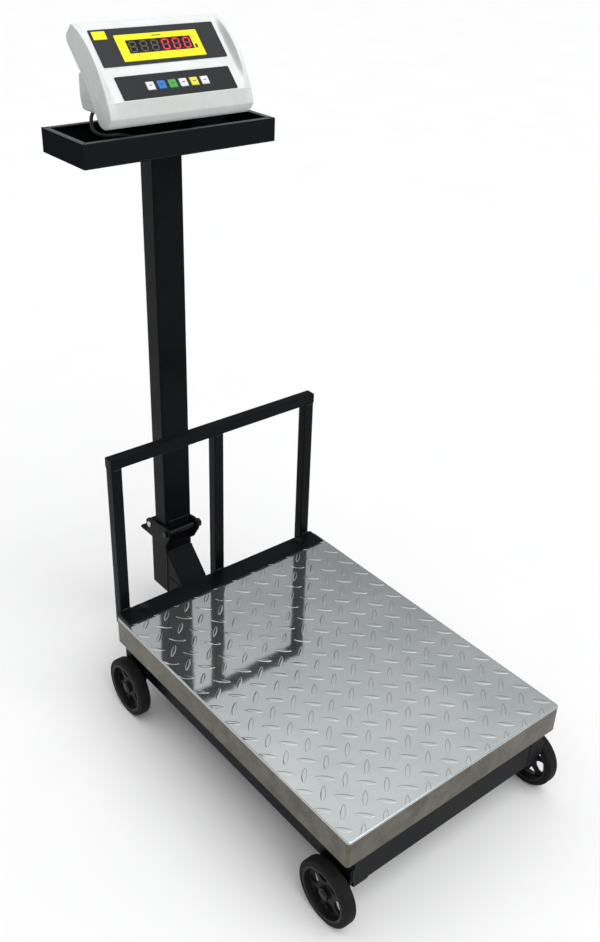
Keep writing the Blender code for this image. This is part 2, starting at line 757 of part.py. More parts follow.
def make_clamp(clamp, head_x):
    """Rod across the front of the column, and the fluted knob that tightens it."""
    bm = bmesh.new()
    end_x = head_x + CLAMP_KNOB_LENGTH
    add_bolt(bm, along_x, (CLAMP_Y, CLAMP_Z), CLAMP_ROD_RADIUS, 0.011, (-head_x - 0.004, -head_x),
             end_x - 0.0025)
    piece("clamp_rod", bm, "zinc_steel", clamp)
    bm = bmesh.new()
    add_prism(bm, fluted((CLAMP_Y, CLAMP_Z), CLAMP_KNOB_RADIUS, 0.0009, 8), head_x, end_x, along_x)
    knob = piece("clamp_knob", bm, "black_plastic", clamp)
    bm = bmesh.new()
    bore = circle((CLAMP_Y, CLAMP_Z), CLAMP_ROD_RADIUS + GAP, 12)
    add_prism(bm, bore, head_x - 0.005, end_x - 0.002, along_x)
    combine(knob, bm, on=clamp)


def fluted(centre, radius, depth, count):
    """Outline of a knob with shallow scallops round it."""
    points = []
    steps = 6 * count
    for i in range(steps):
        angle = 2 * math.pi * i / steps
        reach = radius - depth * (0.5 - 0.5 * math.cos(count * angle))
        points.append((centre[0] + reach * math.cos(angle), centre[1] + reach * math.sin(angle)))
    return points


def make_column(fold):
    """The folding column: a tube with its knuckle welded behind and a pad in front."""
    x = (-COLUMN_HALF_WIDTH, COLUMN_HALF_WIDTH)
    y = (COLUMN_FRONT_Y, COLUMN_REAR_Y)
    z = (SADDLE_BOTTOM + SADDLE_SHEET + GAP, TRAY_BOTTOM - GAP)
    column = square_tube("column", x, y, z, "z", "black_paint", fold)
    bm = bmesh.new()
    weld = 0.001
    outline = [(COLUMN_REAR_Y - weld, FOLD_Z - 0.0115)]
    outline += arc((FOLD_Y, FOLD_Z), 0.0115, -90, 90, 6)
    outline += [(COLUMN_REAR_Y - weld, FOLD_Z + 0.0115)]
    add_prism(bm, outline, -0.025, 0.025, along_x)
    pad_y = (COLUMN_FRONT_Y - 0.003, COLUMN_FRONT_Y + weld)
    add_box(bm, (-0.024, 0.024), pad_y, (CLAMP_Z + 0.005, CLAMP_Z + 0.021))
    combine(column, bm, "UNION", on=fold)
    combine(column, cross_bore(FOLD_Y, FOLD_Z, FOLD_PIN_RADIUS + 0.0003, 0.05), on=fold)


# ---------------------------------------------------------------- tray


def make_tray(fold):
    """Angle frame with an inward rim, on a floor sheet welded to the column's top."""
    x = (-TRAY_HALF_WIDTH, TRAY_HALF_WIDTH)
    y = (TRAY_FRONT_Y, TRAY_REAR_Y)
    bm = bmesh.new()
    add_box(bm, x, y, (TRAY_BOTTOM, TRAY_BOTTOM + TRAY_SHEET))
    floor = piece("tray_floor", bm, "black_paint", fold)
    hole = bmesh.new()
    middle_y = (COLUMN_FRONT_Y + COLUMN_REAR_Y) / 2
    add_prism(hole, circle((0.0, middle_y), 0.008, 10), TRAY_BOTTOM - 0.01, TRAY_BOTTOM + 0.01,
              along_z)
    combine(floor, hole, on=fold)

    low = TRAY_BOTTOM + TRAY_SHEET + GAP
    under = TRAY_TOP - TRAY_WALL
    section = [(0.0, low), (TRAY_WALL, low), (TRAY_WALL, under), (TRAY_RIM, under)]
    section += [(TRAY_RIM, TRAY_TOP), (0.0, TRAY_TOP)]
    bm = bmesh.new()
    corners = []
    for sx, sy in ((0, 0), (1, 0), (1, 1), (0, 1)):
        loop = []
        for inset, z in section:
            corner_x = x[sx] + (inset if sx == 0 else -inset)
            corner_y = y[sy] + (inset if sy == 0 else -inset)
            loop.append(bm.verts.new(along_z(corner_x, corner_y, z)))
        corners.append(loop)
    count = len(section)
    for k in range(4):
        here, after = corners[k], corners[(k + 1) % 4]
        for i in range(count):
            j = (i + 1) % count
            bm.faces.new((here[i], after[i], after[j], here[j]))
    piece("tray_frame", bm, "black_paint", fold)


# ---------------------------------------------------------------- indicator


def shrunk(outline, distance):
    """An anticlockwise outline moved inwards by a wall's thickness, its corners mitred."""
    moved = []
    count = len(outline)
    for i in range(count):
        before, here, after = (Vector(outline[k % count]) for k in (i - 1, i, i + 1))
        one = (here - before).normalized()
        two = (after - here).normalized()
        inward = Vector((-one.y - two.y, one.x + two.x)).normalized()
        reach = distance / inward.dot(Vector((-one.y, one.x)))
        moved.append(tuple(here + inward * reach))
    return moved


def front_outline():
    """Side outline of the front shell in (u, n): face panel, then a nose in two facets."""
    return [
        (0.0, SEAM_DEPTH),
        (0.0, 0.004),
        (0.004, 0.0),
        (NOSE_U, 0.0),
        NOSE_TIP,
        (NOSE_FOOT_U, SEAM_DEPTH),
    ]


def rear_outline():
    """Side outline of the rear shell in (u, n); it thickens towards the lower end."""
    seam = SEAM_DEPTH + GAP
    return [(0.0, seam), (NOSE_FOOT_U, seam), *REAR_CURVE]


def add_cheek(bm, side):
    """A raised cheek along one side of the face panel; its inner wall leans."""
    bowed = []
    steps = 12
    for i in range(steps + 1):
        t = i / steps
        start, pull, end = (Vector(p) for p in (CHEEK_START, CHEEK_PULL, NOSE_TIP))
        bowed.append(tuple((1 - t) ** 2 * start + 2 * t * (1 - t) * pull + t * t * end))
    outline = [*bowed, (0.1520, 0.0140), (0.1350, 0.0040), (0.0060, 0.0040)]

    def place(u, n, outer):
        x = SLAB_HALF_WIDTH if outer else CHEEK_TOP_X - CHEEK_LEAN * (n + CHEEK_RISE)
        return in_slab(side * x, u, n)

    add_prism(bm, outline, False, True, place)


def make_front_shell(fold):
    """Front half of the indicator's housing, open behind, with a window and six key holes."""
    bm = bmesh.new()
    half = SLAB_HALF_WIDTH
    add_prism(bm, front_outline(), -half, half, slab_side)
    shell = piece("indicator_front_shell", bm, "white_plastic", fold)
    bm = bmesh.new()
    for side in (-1, 1):
        add_cheek(bm, side)
    combine(shell, bm, "UNION", on=fold)
    bm = bmesh.new()
    inner = shrunk(front_outline(), SHELL_WALL)
    inner[0] = (inner[0][0], SEAM_DEPTH + 0.004)
    inner[-1] = (inner[-1][0], SEAM_DEPTH + 0.004)
    add_prism(bm, inner, -half + SHELL_WALL, half - SHELL_WALL, slab_side)
    combine(shell, bm, on=fold)
    bm = bmesh.new()
    left, right, top, bottom = WINDOW
    add_prism(bm, rectangle((left, right), (top, bottom)), -0.005, 0.006, in_slab)
    for x in key_places():
        add_prism(bm, key_outline(x, 0.0005), -0.005, 0.006, in_slab)
    combine(shell, bm, on=fold)


def key_places():
    return [KEY_FIRST_X + KEY_PITCH * i for i in range(KEY_COUNT)]


def key_outline(x, margin=0.0):
    half = KEY_SIZE / 2 + margin
    return rectangle((x - half, x + half), (KEY_U - half, KEY_U + half))


def make_rear_shell(fold):
    """Rear half of the housing with the battery box below, open towards the front shell."""
    half = SLAB_HALF_WIDTH
    bm = bmesh.new()
    add_prism(bm, rear_outline(), -half, half, slab_side)
    shell = piece("indicator_rear_shell", bm, "white_plastic", fold)
    bm = bmesh.new()
    add_prism(bm, box_profile(0.0), -HOUSING_HALF_WIDTH, HOUSING_HALF_WIDTH, along_x)
    combine(shell, bm, "UNION", on=fold)
    bm = bmesh.new()
    inner = shrunk(rear_outline(), SHELL_WALL)
    inner[0] = (inner[0][0], SEAM_DEPTH - 0.004)
    inner[1] = (inner[1][0], SEAM_DEPTH - 0.004)
    add_prism(bm, inner, -half + SHELL_WALL, half - SHELL_WALL, slab_side)
    combine(shell, bm, on=fold)
    bm = bmesh.new()
    inner_half = HOUSING_HALF_WIDTH - SHELL_WALL
    add_prism(bm, box_profile(SHELL_WALL), -inner_half, inner_half, along_x)
    combine(shell, bm, on=fold)
    bm = bmesh.new()
    x = (SWITCH_X - 0.0098, SWITCH_X + 0.0098)
    y = (BOX_REAR_Y - 0.006, BOX_REAR_Y + 0.006)
    add_box(bm, x, y, (SWITCH_Z - 0.0072, SWITCH_Z + 0.0072))
    add_prism(bm, circle((GLAND_X, GLAND_Z), 0.0062, 10), BOX_REAR_Y - 0.006, BOX_REAR_Y + 0.006,
              along_y)
    combine(shell, bm, on=fold)


def box_profile(inset):
    """Side outline of the battery box in (deck y, z); it reaches into the slab."""
    slab_low = in_slab(0.0, 0.140, SEAM_DEPTH + 0.004)
    return [
        (0.447, BOX_BOTTOM + inset),
        (BOX_REAR_Y - 0.006, BOX_BOTTOM + inset),
        (BOX_REAR_Y - inset, BOX_BOTTOM + 0.018),
        (BOX_REAR_Y - inset, BOX_TOP - inset),
        (0.466, BOX_TOP - inset),
        (slab_low.y - DECK_Y + inset, slab_low.z + inset),
    ]


def make_panels(fold):
    """Display and keypad overlays, the red display behind the window and the circuit board."""
    for name, (half, top, bottom) in (
        ("display_overlay", DISPLAY_OVERLAY),
        ("keypad_overlay", KEYPAD_OVERLAY),
    ):
        bm = bmesh.new()
        outline = rectangle((-half, half), (top, bottom))
        add_prism(bm, outline, -GAP - OVERLAY_THICKNESS, -GAP, in_slab)
        overlay = piece(name, bm, "display_film", fold)
    holes = bmesh.new()
    for x in key_places():
        add_prism(holes, key_outline(x, 0.0005), -0.004, 0.002, in_slab)
    combine(overlay, holes, on=fold)

    left, right, top, bottom = WINDOW
    bm = bmesh.new()
    outline = rectangle((left + 0.0004, right - 0.0004), (top + 0.0004, bottom - 0.0004))
    add_prism(bm, outline, 0.0006, 0.0085, in_slab)
    piece("led_display", bm, "display_red", fold)
    bm = bmesh.new()
    add_prism(bm, rectangle((-0.112, 0.112), (0.022, 0.134)), 0.0088, 0.0104, in_slab)
    piece("main_board", bm, "circuit_board", fold)


def make_keys(fold):
    """Six membrane keys; each is pressed into the panel along its normal."""
    colours = ("white", "blue", "green", "white", "yellow", "white")
    for i, (x, colour) in enumerate(zip(key_places(), colours), start=1):
        press = pivot("press_key_" + str(i), in_slab(x, KEY_U, 0.0))
        bm = bmesh.new()
        add_prism(bm, key_outline(x), -0.0022, 0.0040, in_slab)
        piece("key_" + str(i), bm, "key_" + colour, press)
        press.parent = fold
        press.location = press.location - fold.location


def make_switch_and_gland(fold):
    """Rocker switch in the battery box's rear wall, and the gland where the cable enters."""
    y, z = BOX_REAR_Y - SHELL_WALL / 2, SWITCH_Z
    rock = pivot("rock_switch", (SWITCH_X, DECK_Y + y, z))
    bm = bmesh.new()
    outline = []
    for a, b in ((-4.0, -4.2), (3.5, -6.0), (2.2, 0.0), (3.5, 6.0), (-4.0, 4.2)):
        turned_y = a * math.cos(SWITCH_TILT) - b * math.sin(SWITCH_TILT)
        turned_z = a * math.sin(SWITCH_TILT) + b * math.cos(SWITCH_TILT)
        outline.append((y + turned_y / 1000, z + turned_z / 1000))
    add_prism(bm, outline, SWITCH_X - 0.0090, SWITCH_X + 0.0090, along_x)
    piece("power_switch", bm, "black_plastic", rock)
    rock.parent = fold
    rock.location = rock.location - fold.location

    bore = CABLE_RADIUS + GAP
    profile = [
        (bore, -0.006),
        (0.0058, -0.006),
        (0.0058, GAP),
        (0.0085, GAP),
        (0.0085, 0.005),
        (0.0060, 0.008),
        (0.0045, 0.010),
        (bore, 0.010),
    ]
    bm = bmesh.new()
    add_turned(bm, profile, (GLAND_X, DECK_Y + BOX_REAR_Y, GLAND_Z), (0, 1, 0), 12, ring=True)
    piece("cable_gland", bm, "black_plastic", fold)


def make_stand(fold):
    """Bent plate that lifts the indicator above the tray's rim."""
    half, sheet = 0.055, 0.003
    low = TRAY_BOTTOM + TRAY_SHEET + GAP
    high = BOX_BOTTOM - GAP
    outline = [
        (-half, low),
        (-half + sheet, low),
        (-half + sheet, high - sheet),
        (half - sheet, high - sheet),
        (half - sheet, low),
        (half, low),
        (half, high),
        (-half, high),
    ]
    bm = bmesh.new()
    add_prism(bm, outline, 0.460, 0.492, along_y)
    piece("indicator_stand", bm, "black_paint", fold)


# ---------------------------------------------------------------- cables


BASE_CABLE = (
    (0.0235, -0.060, 0.1440),
    (0.034, -0.058, 0.1450),
    (0.042, -0.040, 0.1460),
    (0.043, 0.020, 0.1470),
    (0.042, 0.120, 0.1450),
    (0.036, 0.200, 0.134),
    (0.026, 0.236, 0.110),
    (0.020, 0.252, 0.0815),
    (0.017, 0.270, 0.0746),
    (0.013, 0.288, 0.0742),
    (0.010, 0.304, 0.0752),
    (0.004, 0.360, 0.0800),
    (0.000, 0.410, 0.0880),
    (0.000, 0.448, 0.0900),
    (0.000, 0.466, 0.0960),
    (0.000, 0.471, 0.1120),
    (0.000, 0.471, 0.1500),
    (0.000, 0.471, 0.1884),
)
COLUMN_CABLE = (
    (0.000, 0.471, 0.1887),
    (0.000, 0.471, 0.240),
    (0.000, 0.471, 0.500),
    (0.000, 0.471, 0.780),
    (0.000, 0.471, 0.925),
    (0.000, 0.470, 0.945),
    (-0.010, 0.458, 0.9570),
    (-0.034, 0.436, 0.9630),
    (-0.070, 0.423, 0.9700),
    (-0.104, 0.414, 0.9820),
    (-0.124, 0.411, 0.9832),
    (-0.135, 0.419, 0.9832),
    (-0.134, 0.439, 0.9835),
    (-0.127, 0.461, 0.9845),
    (-0.116, 0.482, 0.9860),
    (-0.100, 0.510, 0.9890),
    (-0.084, 0.5265, 0.9980),
    (-0.068, 0.533, 1.0110),
    (-0.056, 0.531, 1.0270),
    (-0.0505, 0.524, 1.0375),
    (-0.050, 0.516, 1.0400),
    (-0.050, 0.510, 1.0400),
    (-0.050, 0.4985, 1.0400),
)


def smooth_route(points, spacing):
    """Points along a Catmull-Rom curve through the route, spacing apart where it bends."""
    route = [Vector(along_z(x, y, z)) for x, y, z in points]
    route = [2 * route[0] - route[1]] + route + [2 * route[-1] - route[-2]]
    dense = []
    for a, b, c, d in zip(route, route[1:], route[2:], route[3:]):
        pieces = max(2, round((c - b).length / 0.001))
        for i in range(pieces):
            t = i / pieces
            dense.append(0.5 * (2 * b + (c - a) * t + (2 * a - 5 * b + 4 * c - d) * t * t
                                + (3 * b - a - 3 * c + d) * t ** 3))
    dense.append(route[-2])
    kept = [dense[0]]
    since = 0.0
    heading = dense[1] - dense[0]
    for before, after in zip(dense, dense[1:]):
        since += (after - before).length
        turned = heading.angle(after - before) > math.radians(6)
        if since < (spacing if turned else 5 * spacing):
            continue
        if (after - dense[-1]).length > spacing:
            kept.append(after)
            heading = after - before
            since = 0.0
    kept.append(dense[-1])
    return kept


def make_cable(name, points, spacing, on=None):
    """A round cable along a smooth route, with closed ends."""
    curve = bpy.data.curves.new(name, "CURVE")
    curve.dimensions = "3D"
    curve.bevel_depth = CABLE_RADIUS
    curve.bevel_resolution = 2
    curve.use_fill_caps = True
    spline = curve.splines.new("POLY")
    route = smooth_route(points, spacing)
    origin = on.location if on else Vector((0, 0, 0))
    spline.points.add(len(route) - 1)
    for point, place in zip(spline.points, route):
        point.co = (*(place - origin), 1.0)
    curve.materials.append(finish_material("cable_jacket"))
    obj = bpy.data.objects.new(name, curve)
    bpy.context.scene.collection.objects.link(obj)
    if on:
        obj.parent = on


# ---------------------------------------------------------------- assembly


def main():
    for obj in list(bpy.data.objects):
        bpy.data.objects.remove(obj, do_unlink=True)
    make_deck_plate()
    make_deck_frame()
    make_load_cell()
    make_base_frame()
    for side, y, name in wheel_places():
        make_axle(side, y, name)
        make_wheel(side, y, name)
    make_guard()
    make_column_foot()
    fold = pivot("column_fold", (0, DECK_Y + FOLD_Y, FOLD_Z))
    clamp = pivot("clamp_turn", (0, DECK_Y + CLAMP_Y, CLAMP_Z))
    make_fold_joint(clamp)
    make_column(fold)
    make_tray(fold)
    make_stand(fold)
    make_front_shell(fold)
    make_rear_shell(fold)
    make_panels(fold)
    make_keys(fold)
    make_switch_and_gland(fold)
    make_cable("cable_in_base", BASE_CABLE, 0.012)
    make_cable("cable_in_column", COLUMN_CABLE, 0.012, fold)


main()
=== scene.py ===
"""Looks of the platform shipping scale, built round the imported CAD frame.

The row frame is used throughout: metres, +Z up, +X to the right seen from the front. Sizes that
only concern looks are written here; places come from the CAD nodes' boxes.
"""

import json
import math

import bmesh
import bpy
from mathutils import Euler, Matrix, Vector


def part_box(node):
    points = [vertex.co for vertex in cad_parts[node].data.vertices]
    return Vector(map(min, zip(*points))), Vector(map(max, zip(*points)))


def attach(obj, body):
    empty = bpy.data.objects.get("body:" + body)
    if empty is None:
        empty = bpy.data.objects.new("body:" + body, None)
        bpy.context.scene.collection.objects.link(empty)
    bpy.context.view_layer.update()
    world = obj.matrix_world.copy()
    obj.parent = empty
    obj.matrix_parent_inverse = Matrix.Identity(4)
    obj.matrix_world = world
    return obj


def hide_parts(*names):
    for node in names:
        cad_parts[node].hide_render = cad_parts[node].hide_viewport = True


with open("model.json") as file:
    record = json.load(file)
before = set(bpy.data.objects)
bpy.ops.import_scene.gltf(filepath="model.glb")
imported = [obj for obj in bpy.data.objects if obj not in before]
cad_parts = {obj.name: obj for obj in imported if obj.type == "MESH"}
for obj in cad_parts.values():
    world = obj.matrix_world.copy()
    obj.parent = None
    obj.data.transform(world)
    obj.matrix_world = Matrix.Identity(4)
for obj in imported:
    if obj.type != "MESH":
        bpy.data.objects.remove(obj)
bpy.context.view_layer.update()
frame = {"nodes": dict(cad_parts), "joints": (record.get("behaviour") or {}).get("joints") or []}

CORNERS = ("front_left", "front_right", "rear_left", "rear_right")
ALONG_X, UPRIGHT = (1, 0, 0), (0, 0, 1)
AXES = {"x": (1, 2, 0), "y": (0, 2, 1), "z": (0, 1, 2)}  # two across, then the run
WORLD_STRENGTH = 0.90
CAMERA_PLACE = (-0.9238, -1.1067, 1.3577)
CAMERA_TURN = (59.4515, -1.8987, -39.0829)  # degrees
CAMERA_VIEW = 48.232  # degrees, top to bottom
SUN_PLACE, SUN_WAY = (0.4, -0.8, 3.0), (-0.06, 0.56, -0.78)
SUN_STRENGTH, SUN_WIDTH = 1.55, 60
FLOOR_HALF = 12
SHARP = 32  # degrees; edges sharper than this stay hard
MERGE = 1e-6  # points closer than this are one


# ---------------------------------------------------------------- materials


class Finish:
    """A Principled material, with short ways to add its node patterns."""

    def __init__(self, name, colour, roughness, metallic=0.0, **fixed):
        self.material = bpy.data.materials.new(name)
        self.material.use_nodes = True
        self.tree = self.material.node_tree
        self.shader = self.tree.nodes["Principled BSDF"]
        self.shader.inputs["Base Color"].default_value = (*colour, 1.0)
        self.shader.inputs["Roughness"].default_value = roughness
        self.shader.inputs["Metallic"].default_value = metallic
        for socket, value in fixed.items():
            self.shader.inputs[socket.replace("_", " ")].default_value = value
        self.place = self.node("ShaderNodeTexCoord").outputs["Object"]
        self.normal = None

    def node(self, kind, inputs=(), **attributes):
        made = self.tree.nodes.new(kind)
        for key, value in attributes.items():
            setattr(made, key, value)
        for key, value in dict(inputs).items():
            self.feed(made.inputs[key], value)
        return made

    def feed(self, socket, value):
        if isinstance(value, bpy.types.NodeSocket):
            self.tree.links.new(value, socket)
        else:
            socket.default_value = value

    def noise(self, scale, detail=3.0, rough=0.55, stretch=None, distortion=0.0):
        """Noise over the object, drawn out along its axes where stretch is given."""
        place = self.place
        if stretch:
            mapping = self.node("ShaderNodeMapping", {"Vector": place, "Scale": stretch})
            place = mapping.outputs["Vector"]
        inputs = {"Vector": place, "Scale": scale, "Detail": detail, "Roughness": rough,
                  "Distortion": distortion}
        return self.node("ShaderNodeTexNoise", inputs).outputs["Fac"]

    def spread(self, value, low, high, source=(0.3, 0.7)):
        inputs = {"Value": value, "From Min": source[0], "From Max": source[1], "To Min": low,
                  "To Max": high}
        return self.node("ShaderNodeMapRange", inputs).outputs["Result"]

    def height(self):
        return self.node("ShaderNodeSeparateXYZ", {"Vector": self.place}).outputs["Z"]

    def upward(self):
        """How far the surface faces up when the scale stands, from -1 to 1."""
        facing = self.node("ShaderNodeTexCoord").outputs["Normal"]
        return self.node("ShaderNodeSeparateXYZ", {"Vector": facing}).outputs["Z"]

    def calc(self, operation, a, b):
        return self.node("ShaderNodeMath", {0: a, 1: b}, operation=operation).outputs[0]

    def blend(self, factor, first, second):
        made = self.node("ShaderNodeMix", data_type="RGBA")
        self.feed(made.inputs[0], factor)
        for index, colour in ((6, first), (7, second)):
            value = (*colour, 1.0) if isinstance(colour, tuple) else colour
            self.feed(made.inputs[index], value)
        return made.outputs[2]

    def between(self, pattern, dark, light, source=(0.3, 0.7), most=1.0):
        """A colour that wanders between two with the pattern."""
        return self.blend(self.spread(pattern, 0.0, most, source), dark, light)

    def bump(self, value, strength, distance):
        inputs = {"Height": value, "Strength": strength, "Distance": distance}
        if self.normal is not None:
            inputs["Normal"] = self.normal
        self.normal = self.node("ShaderNodeBump", inputs).outputs["Normal"]
        self.feed(self.shader.inputs["Normal"], self.normal)

    def colour(self, value):
        self.feed(self.shader.inputs["Base Color"], value)

    def roughness(self, value):
        self.feed(self.shader.inputs["Roughness"], value)


def mottled(name, dark, light, rough, noise, most=1.0, source=(0.3, 0.7), wear=None, bump=None,
            grain=None, metallic=0.0, **fixed):
    """A finish that wanders between two colours and two roughnesses, with a fine relief.

    Wear and grain are the noises of the roughness and the relief, where they have their own.
    """
    made = Finish(name, dark, rough[0], metallic, **fixed)
    pattern = made.noise(*noise)
    made.colour(made.between(pattern, dark, light, source, most))
    made.roughness(made.spread(made.noise(*wear) if wear else pattern, *rough))
    if bump:
        made.bump(made.noise(*grain) if grain else pattern, *bump)
    return made.material


def stainless():
    """Bright rolled sheet: a little wavy, with smears and fine scratches; the skirt is painted much
    darker than the top, as painted shade, with stain mottling.
    """
    top_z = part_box("deck_plate")[1].z
    made = Finish("stainless_sheet", (0.60, 0.62, 0.62), 0.07, 0.94)
    smears = made.noise(7.0, 4.0, 0.6, distortion=0.6)
    grain = made.noise(1.0, 2.0, 0.6, stretch=(14, 900, 14))
    stains = made.noise(26.0, 5.0, 0.65, distortion=0.4)
    top = made.between(smears, (0.530, 0.572, 0.574), (0.640, 0.676, 0.668))
    top = made.blend(made.spread(grain, 0.0, 0.25), top, (0.72, 0.73, 0.73))
    # painted shade: the skirt's colour is kept far darker than the top's, mottled by the stains
    skirt = made.between(stains, (0.062, 0.055, 0.040), (0.170, 0.157, 0.130))
    below = made.spread(made.height(), 1.0, 0.0, (top_z - 0.0045, top_z - 0.0015))
    made.colour(made.blend(below, top, skirt))
    worn = made.calc("ADD", made.spread(smears, 0.035, 0.070), made.spread(grain, 0.0, 0.02))
    worn = made.calc("MULTIPLY", worn, made.calc("SUBTRACT", 1.0, below))
    dull = made.calc("MULTIPLY", made.spread(stains, 0.22, 0.38), below)
    made.roughness(made.calc("ADD", dull, worn))
    made.bump(made.noise(9.0, 1.0, 0.4), 0.08, 0.003)
    made.bump(made.noise(34.0, 1.0, 0.4), 0.22, 0.0004)
    made.bump(grain, 0.03, 0.0002)
    return made.material


def black_paint():
    """Satin black stoving paint with a slight orange peel and some dust."""
    made = Finish("black_paint", (0.004, 0.0045, 0.0055), 0.40, Specular_IOR_Level=0.06)
    patches = made.noise(13.0, 4.0, 0.6)
    base = made.between(patches, (0.0022, 0.0027, 0.0036), (0.0052, 0.0058, 0.0070))
    dust = made.noise(160.0, 3.0, 0.6)
    made.colour(made.between(dust, base, (0.022, 0.022, 0.021), (0.62, 0.80), 0.5))
    made.roughness(made.spread(patches, 0.34, 0.48))
    made.bump(made.noise(620.0, 1.0, 0.4), 0.16, 0.0006)
    made.bump(made.noise(90.0, 2.0, 0.5), 0.08, 0.0008)
    return made.material


def tray_paint():
    """The same paint, glossier where the tray faces up and lighter there: dust, with painted light from
    above.
    """
    made = Finish("tray_paint", (0.004, 0.0045, 0.0055), 0.34)
    top = made.spread(made.upward(), 0.0, 1.0, (0.6, 0.95))
    dust = made.noise(120.0, 4.0, 0.6)
    # painted light from above mixed with dust: faces that look up take this much lighter colour
    dust_and_top_light = made.between(dust, (0.052, 0.058, 0.063), (0.092, 0.100, 0.106))
    made.colour(made.blend(top, (0.0108, 0.0118, 0.0142), dust_and_top_light))
    made.feed(made.shader.inputs["Specular IOR Level"], made.calc("MULTIPLY", top, 0.30))
    made.roughness(made.spread(dust, 0.28, 0.42))
    made.bump(made.noise(620.0, 1.0, 0.4), 0.16, 0.0006)
    return made.material


def weld_paint():
    """The same paint over a weld's ripples and spatter."""
    made = Finish("painted_weld", (0.006, 0.0065, 0.0075), 0.36, Specular_IOR_Level=0.22)
    made.bump(made.noise(1300.0, 3.0, 0.6), 0.5, 0.0006)
    made.roughness(made.spread(made.noise(300.0), 0.28, 0.5))
    return made.material


def white_plastic():
    """Off-white ABS, spark-eroded, with light handling marks; its sides are painted darker than its
    upper faces, as painted shade.
    """
    made = Finish("white_plastic", (0.80, 0.83, 0.82), 0.42, Subsurface_Weight=0.03,
                  Subsurface_Scale=0.004, Specular_IOR_Level=0.35)
    marks = made.noise(24.0, 5.0, 0.65, distortion=0.3)
    handled = made.spread(marks, 0.0, 1.0, (0.35, 0.75))
    upper_faces = made.blend(handled, (0.810, 0.845, 0.840), (0.745, 0.765, 0.745))
    # painted shade: a darker copy of the tone, which faces take more the less they look up
    painted_shade_sides = made.blend(handled, (0.640, 0.666, 0.650), (0.588, 0.604, 0.580))
    made.colour(made.between(made.upward(), painted_shade_sides, upper_faces, (0.25, 0.62)))
    made.roughness(made.spread(marks, 0.36, 0.50))
    made.bump(made.noise(1700.0, 1.5, 0.6), 0.14, 0.0004)
    return made.material


def digit_segment(name, colour, glow):
    """A seven-segment bar; its light is a little uneven along its length."""
    made = Finish(name, colour, 0.30)
    uneven = made.noise(420.0, 2.0, 0.5)
    shade = made.between(uneven, tuple(value * 0.72 for value in colour), colour)
    made.colour(shade)
    made.roughness(made.spread(uneven, 0.22, 0.38))
    if glow:
        made.feed(made.shader.inputs["Emission Color"], shade)
        made.shader.inputs["Emission Strength"].default_value = glow
    return made.material


def circuit_board():
    """Green laminate with lighter tracks and pads."""
    made = Finish("circuit_board", (0.02, 0.16, 0.06), 0.42)
    tracks = made.node("ShaderNodeTexVoronoi", {"Vector": made.place, "Scale": 170.0},
                       feature="DISTANCE_TO_EDGE")
    lines = made.spread(tracks.outputs["Distance"], 1.0, 0.0, (0.03, 0.07))
    made.colour(made.blend(lines, (0.012, 0.11, 0.045), (0.03, 0.26, 0.10)))
    made.roughness(made.spread(made.noise(300.0), 0.34, 0.5))
    made.bump(lines, 0.3, 0.0002)
    return made.material


def moulded_black(name, colour, rough, grain):
    """Black plastic or blackened metal with a fine grain, slightly scuffed."""
    lighter = tuple(value * 1.9 + 0.002 for value in colour)
    return mottled(name, colour, lighter, (rough - 0.06, rough + 0.10), (60.0, 5.0, 0.7, None, 0.8),
                   most=0.8, source=(0.45, 0.75), bump=(0.22, 0.0005), grain=(grain, 2.0, 0.6),
                   Specular_IOR_Level=0.18)


def printed_film(name, colour, rough=0.38):
    """Polyester overlay: printed behind, with a finely embossed surface."""
    darker = tuple(value * 0.94 for value in colour)
    lighter = tuple(min(1.0, value * 1.05) for value in colour)
    return mottled(name, darker, lighter, (rough - 0.05, rough + 0.07), (40.0, 3.0, 0.6),
                   bump=(0.08, 0.0003), grain=(2400.0, 1.0), Coat_Weight=0.06, Coat_Roughness=0.22,
                   Specular_IOR_Level=0.25)


def key_cap(name, colour):
    """Glossy moulded key, worn a little paler."""
    worn = tuple(value * 0.84 + 0.012 for value in colour)
    return mottled("key_" + name, colour, worn, (0.28, 0.44), (320.0, 3.0, 0.6), source=(0.40, 0.75),
                   bump=(0.06, 0.0003), grain=(2200.0, 1.0), Coat_Weight=0.15, Coat_Roughness=0.2)


STAINLESS = stainless()
# The flanks of the marks are painted darker than the sheet, as painted shade that dims their glints;
# they are rougher too.
FLANK = mottled("pressed_flank", (0.340, 0.364, 0.364), (0.455, 0.480, 0.475), (0.28, 0.42),
                (650.0, 3.0, 0.6), bump=(0.06, 0.0002), metallic=0.94)
PAINT = black_paint()
TRAY = tray_paint()
WELD = weld_paint()
PRIMER = mottled("dark_primer", (0.045, 0.046, 0.050), (0.085, 0.083, 0.080), (0.52, 0.74),
                 (30.0, 5.0, 0.65, None, 0.5), bump=(0.25, 0.0005), grain=(500.0, 2.0),
                 Specular_IOR_Level=0.25)
ALUMINIUM = mottled("machined_aluminium", (0.66, 0.67, 0.69), (0.80, 0.81, 0.82), (0.26, 0.42),
                    (1.0, 2.0, 0.6, (1500, 60, 1500)), bump=(0.12, 0.0004), metallic=1.0)
ZINC = mottled("zinc_plating", (0.56, 0.58, 0.61), (0.66, 0.63, 0.55), (0.22, 0.42),
               (220.0, 3.0, 0.6), wear=(700.0,), bump=(0.15, 0.0004), grain=(900.0, 2.0),
               metallic=1.0)
WHEEL = moulded_black("wheel_plastic", (0.0060, 0.0060, 0.0066), 0.46, 900.0)
BLACK = moulded_black("black_plastic", (0.0080, 0.0080, 0.0088), 0.42, 1400.0)
BLACK_BOLT = moulded_black("blackened_bolt", (0.008, 0.008, 0.009), 0.34, 700.0)
BLACK_ROD = moulded_black("painted_rod", (0.008, 0.009, 0.010), 0.30, 500.0)
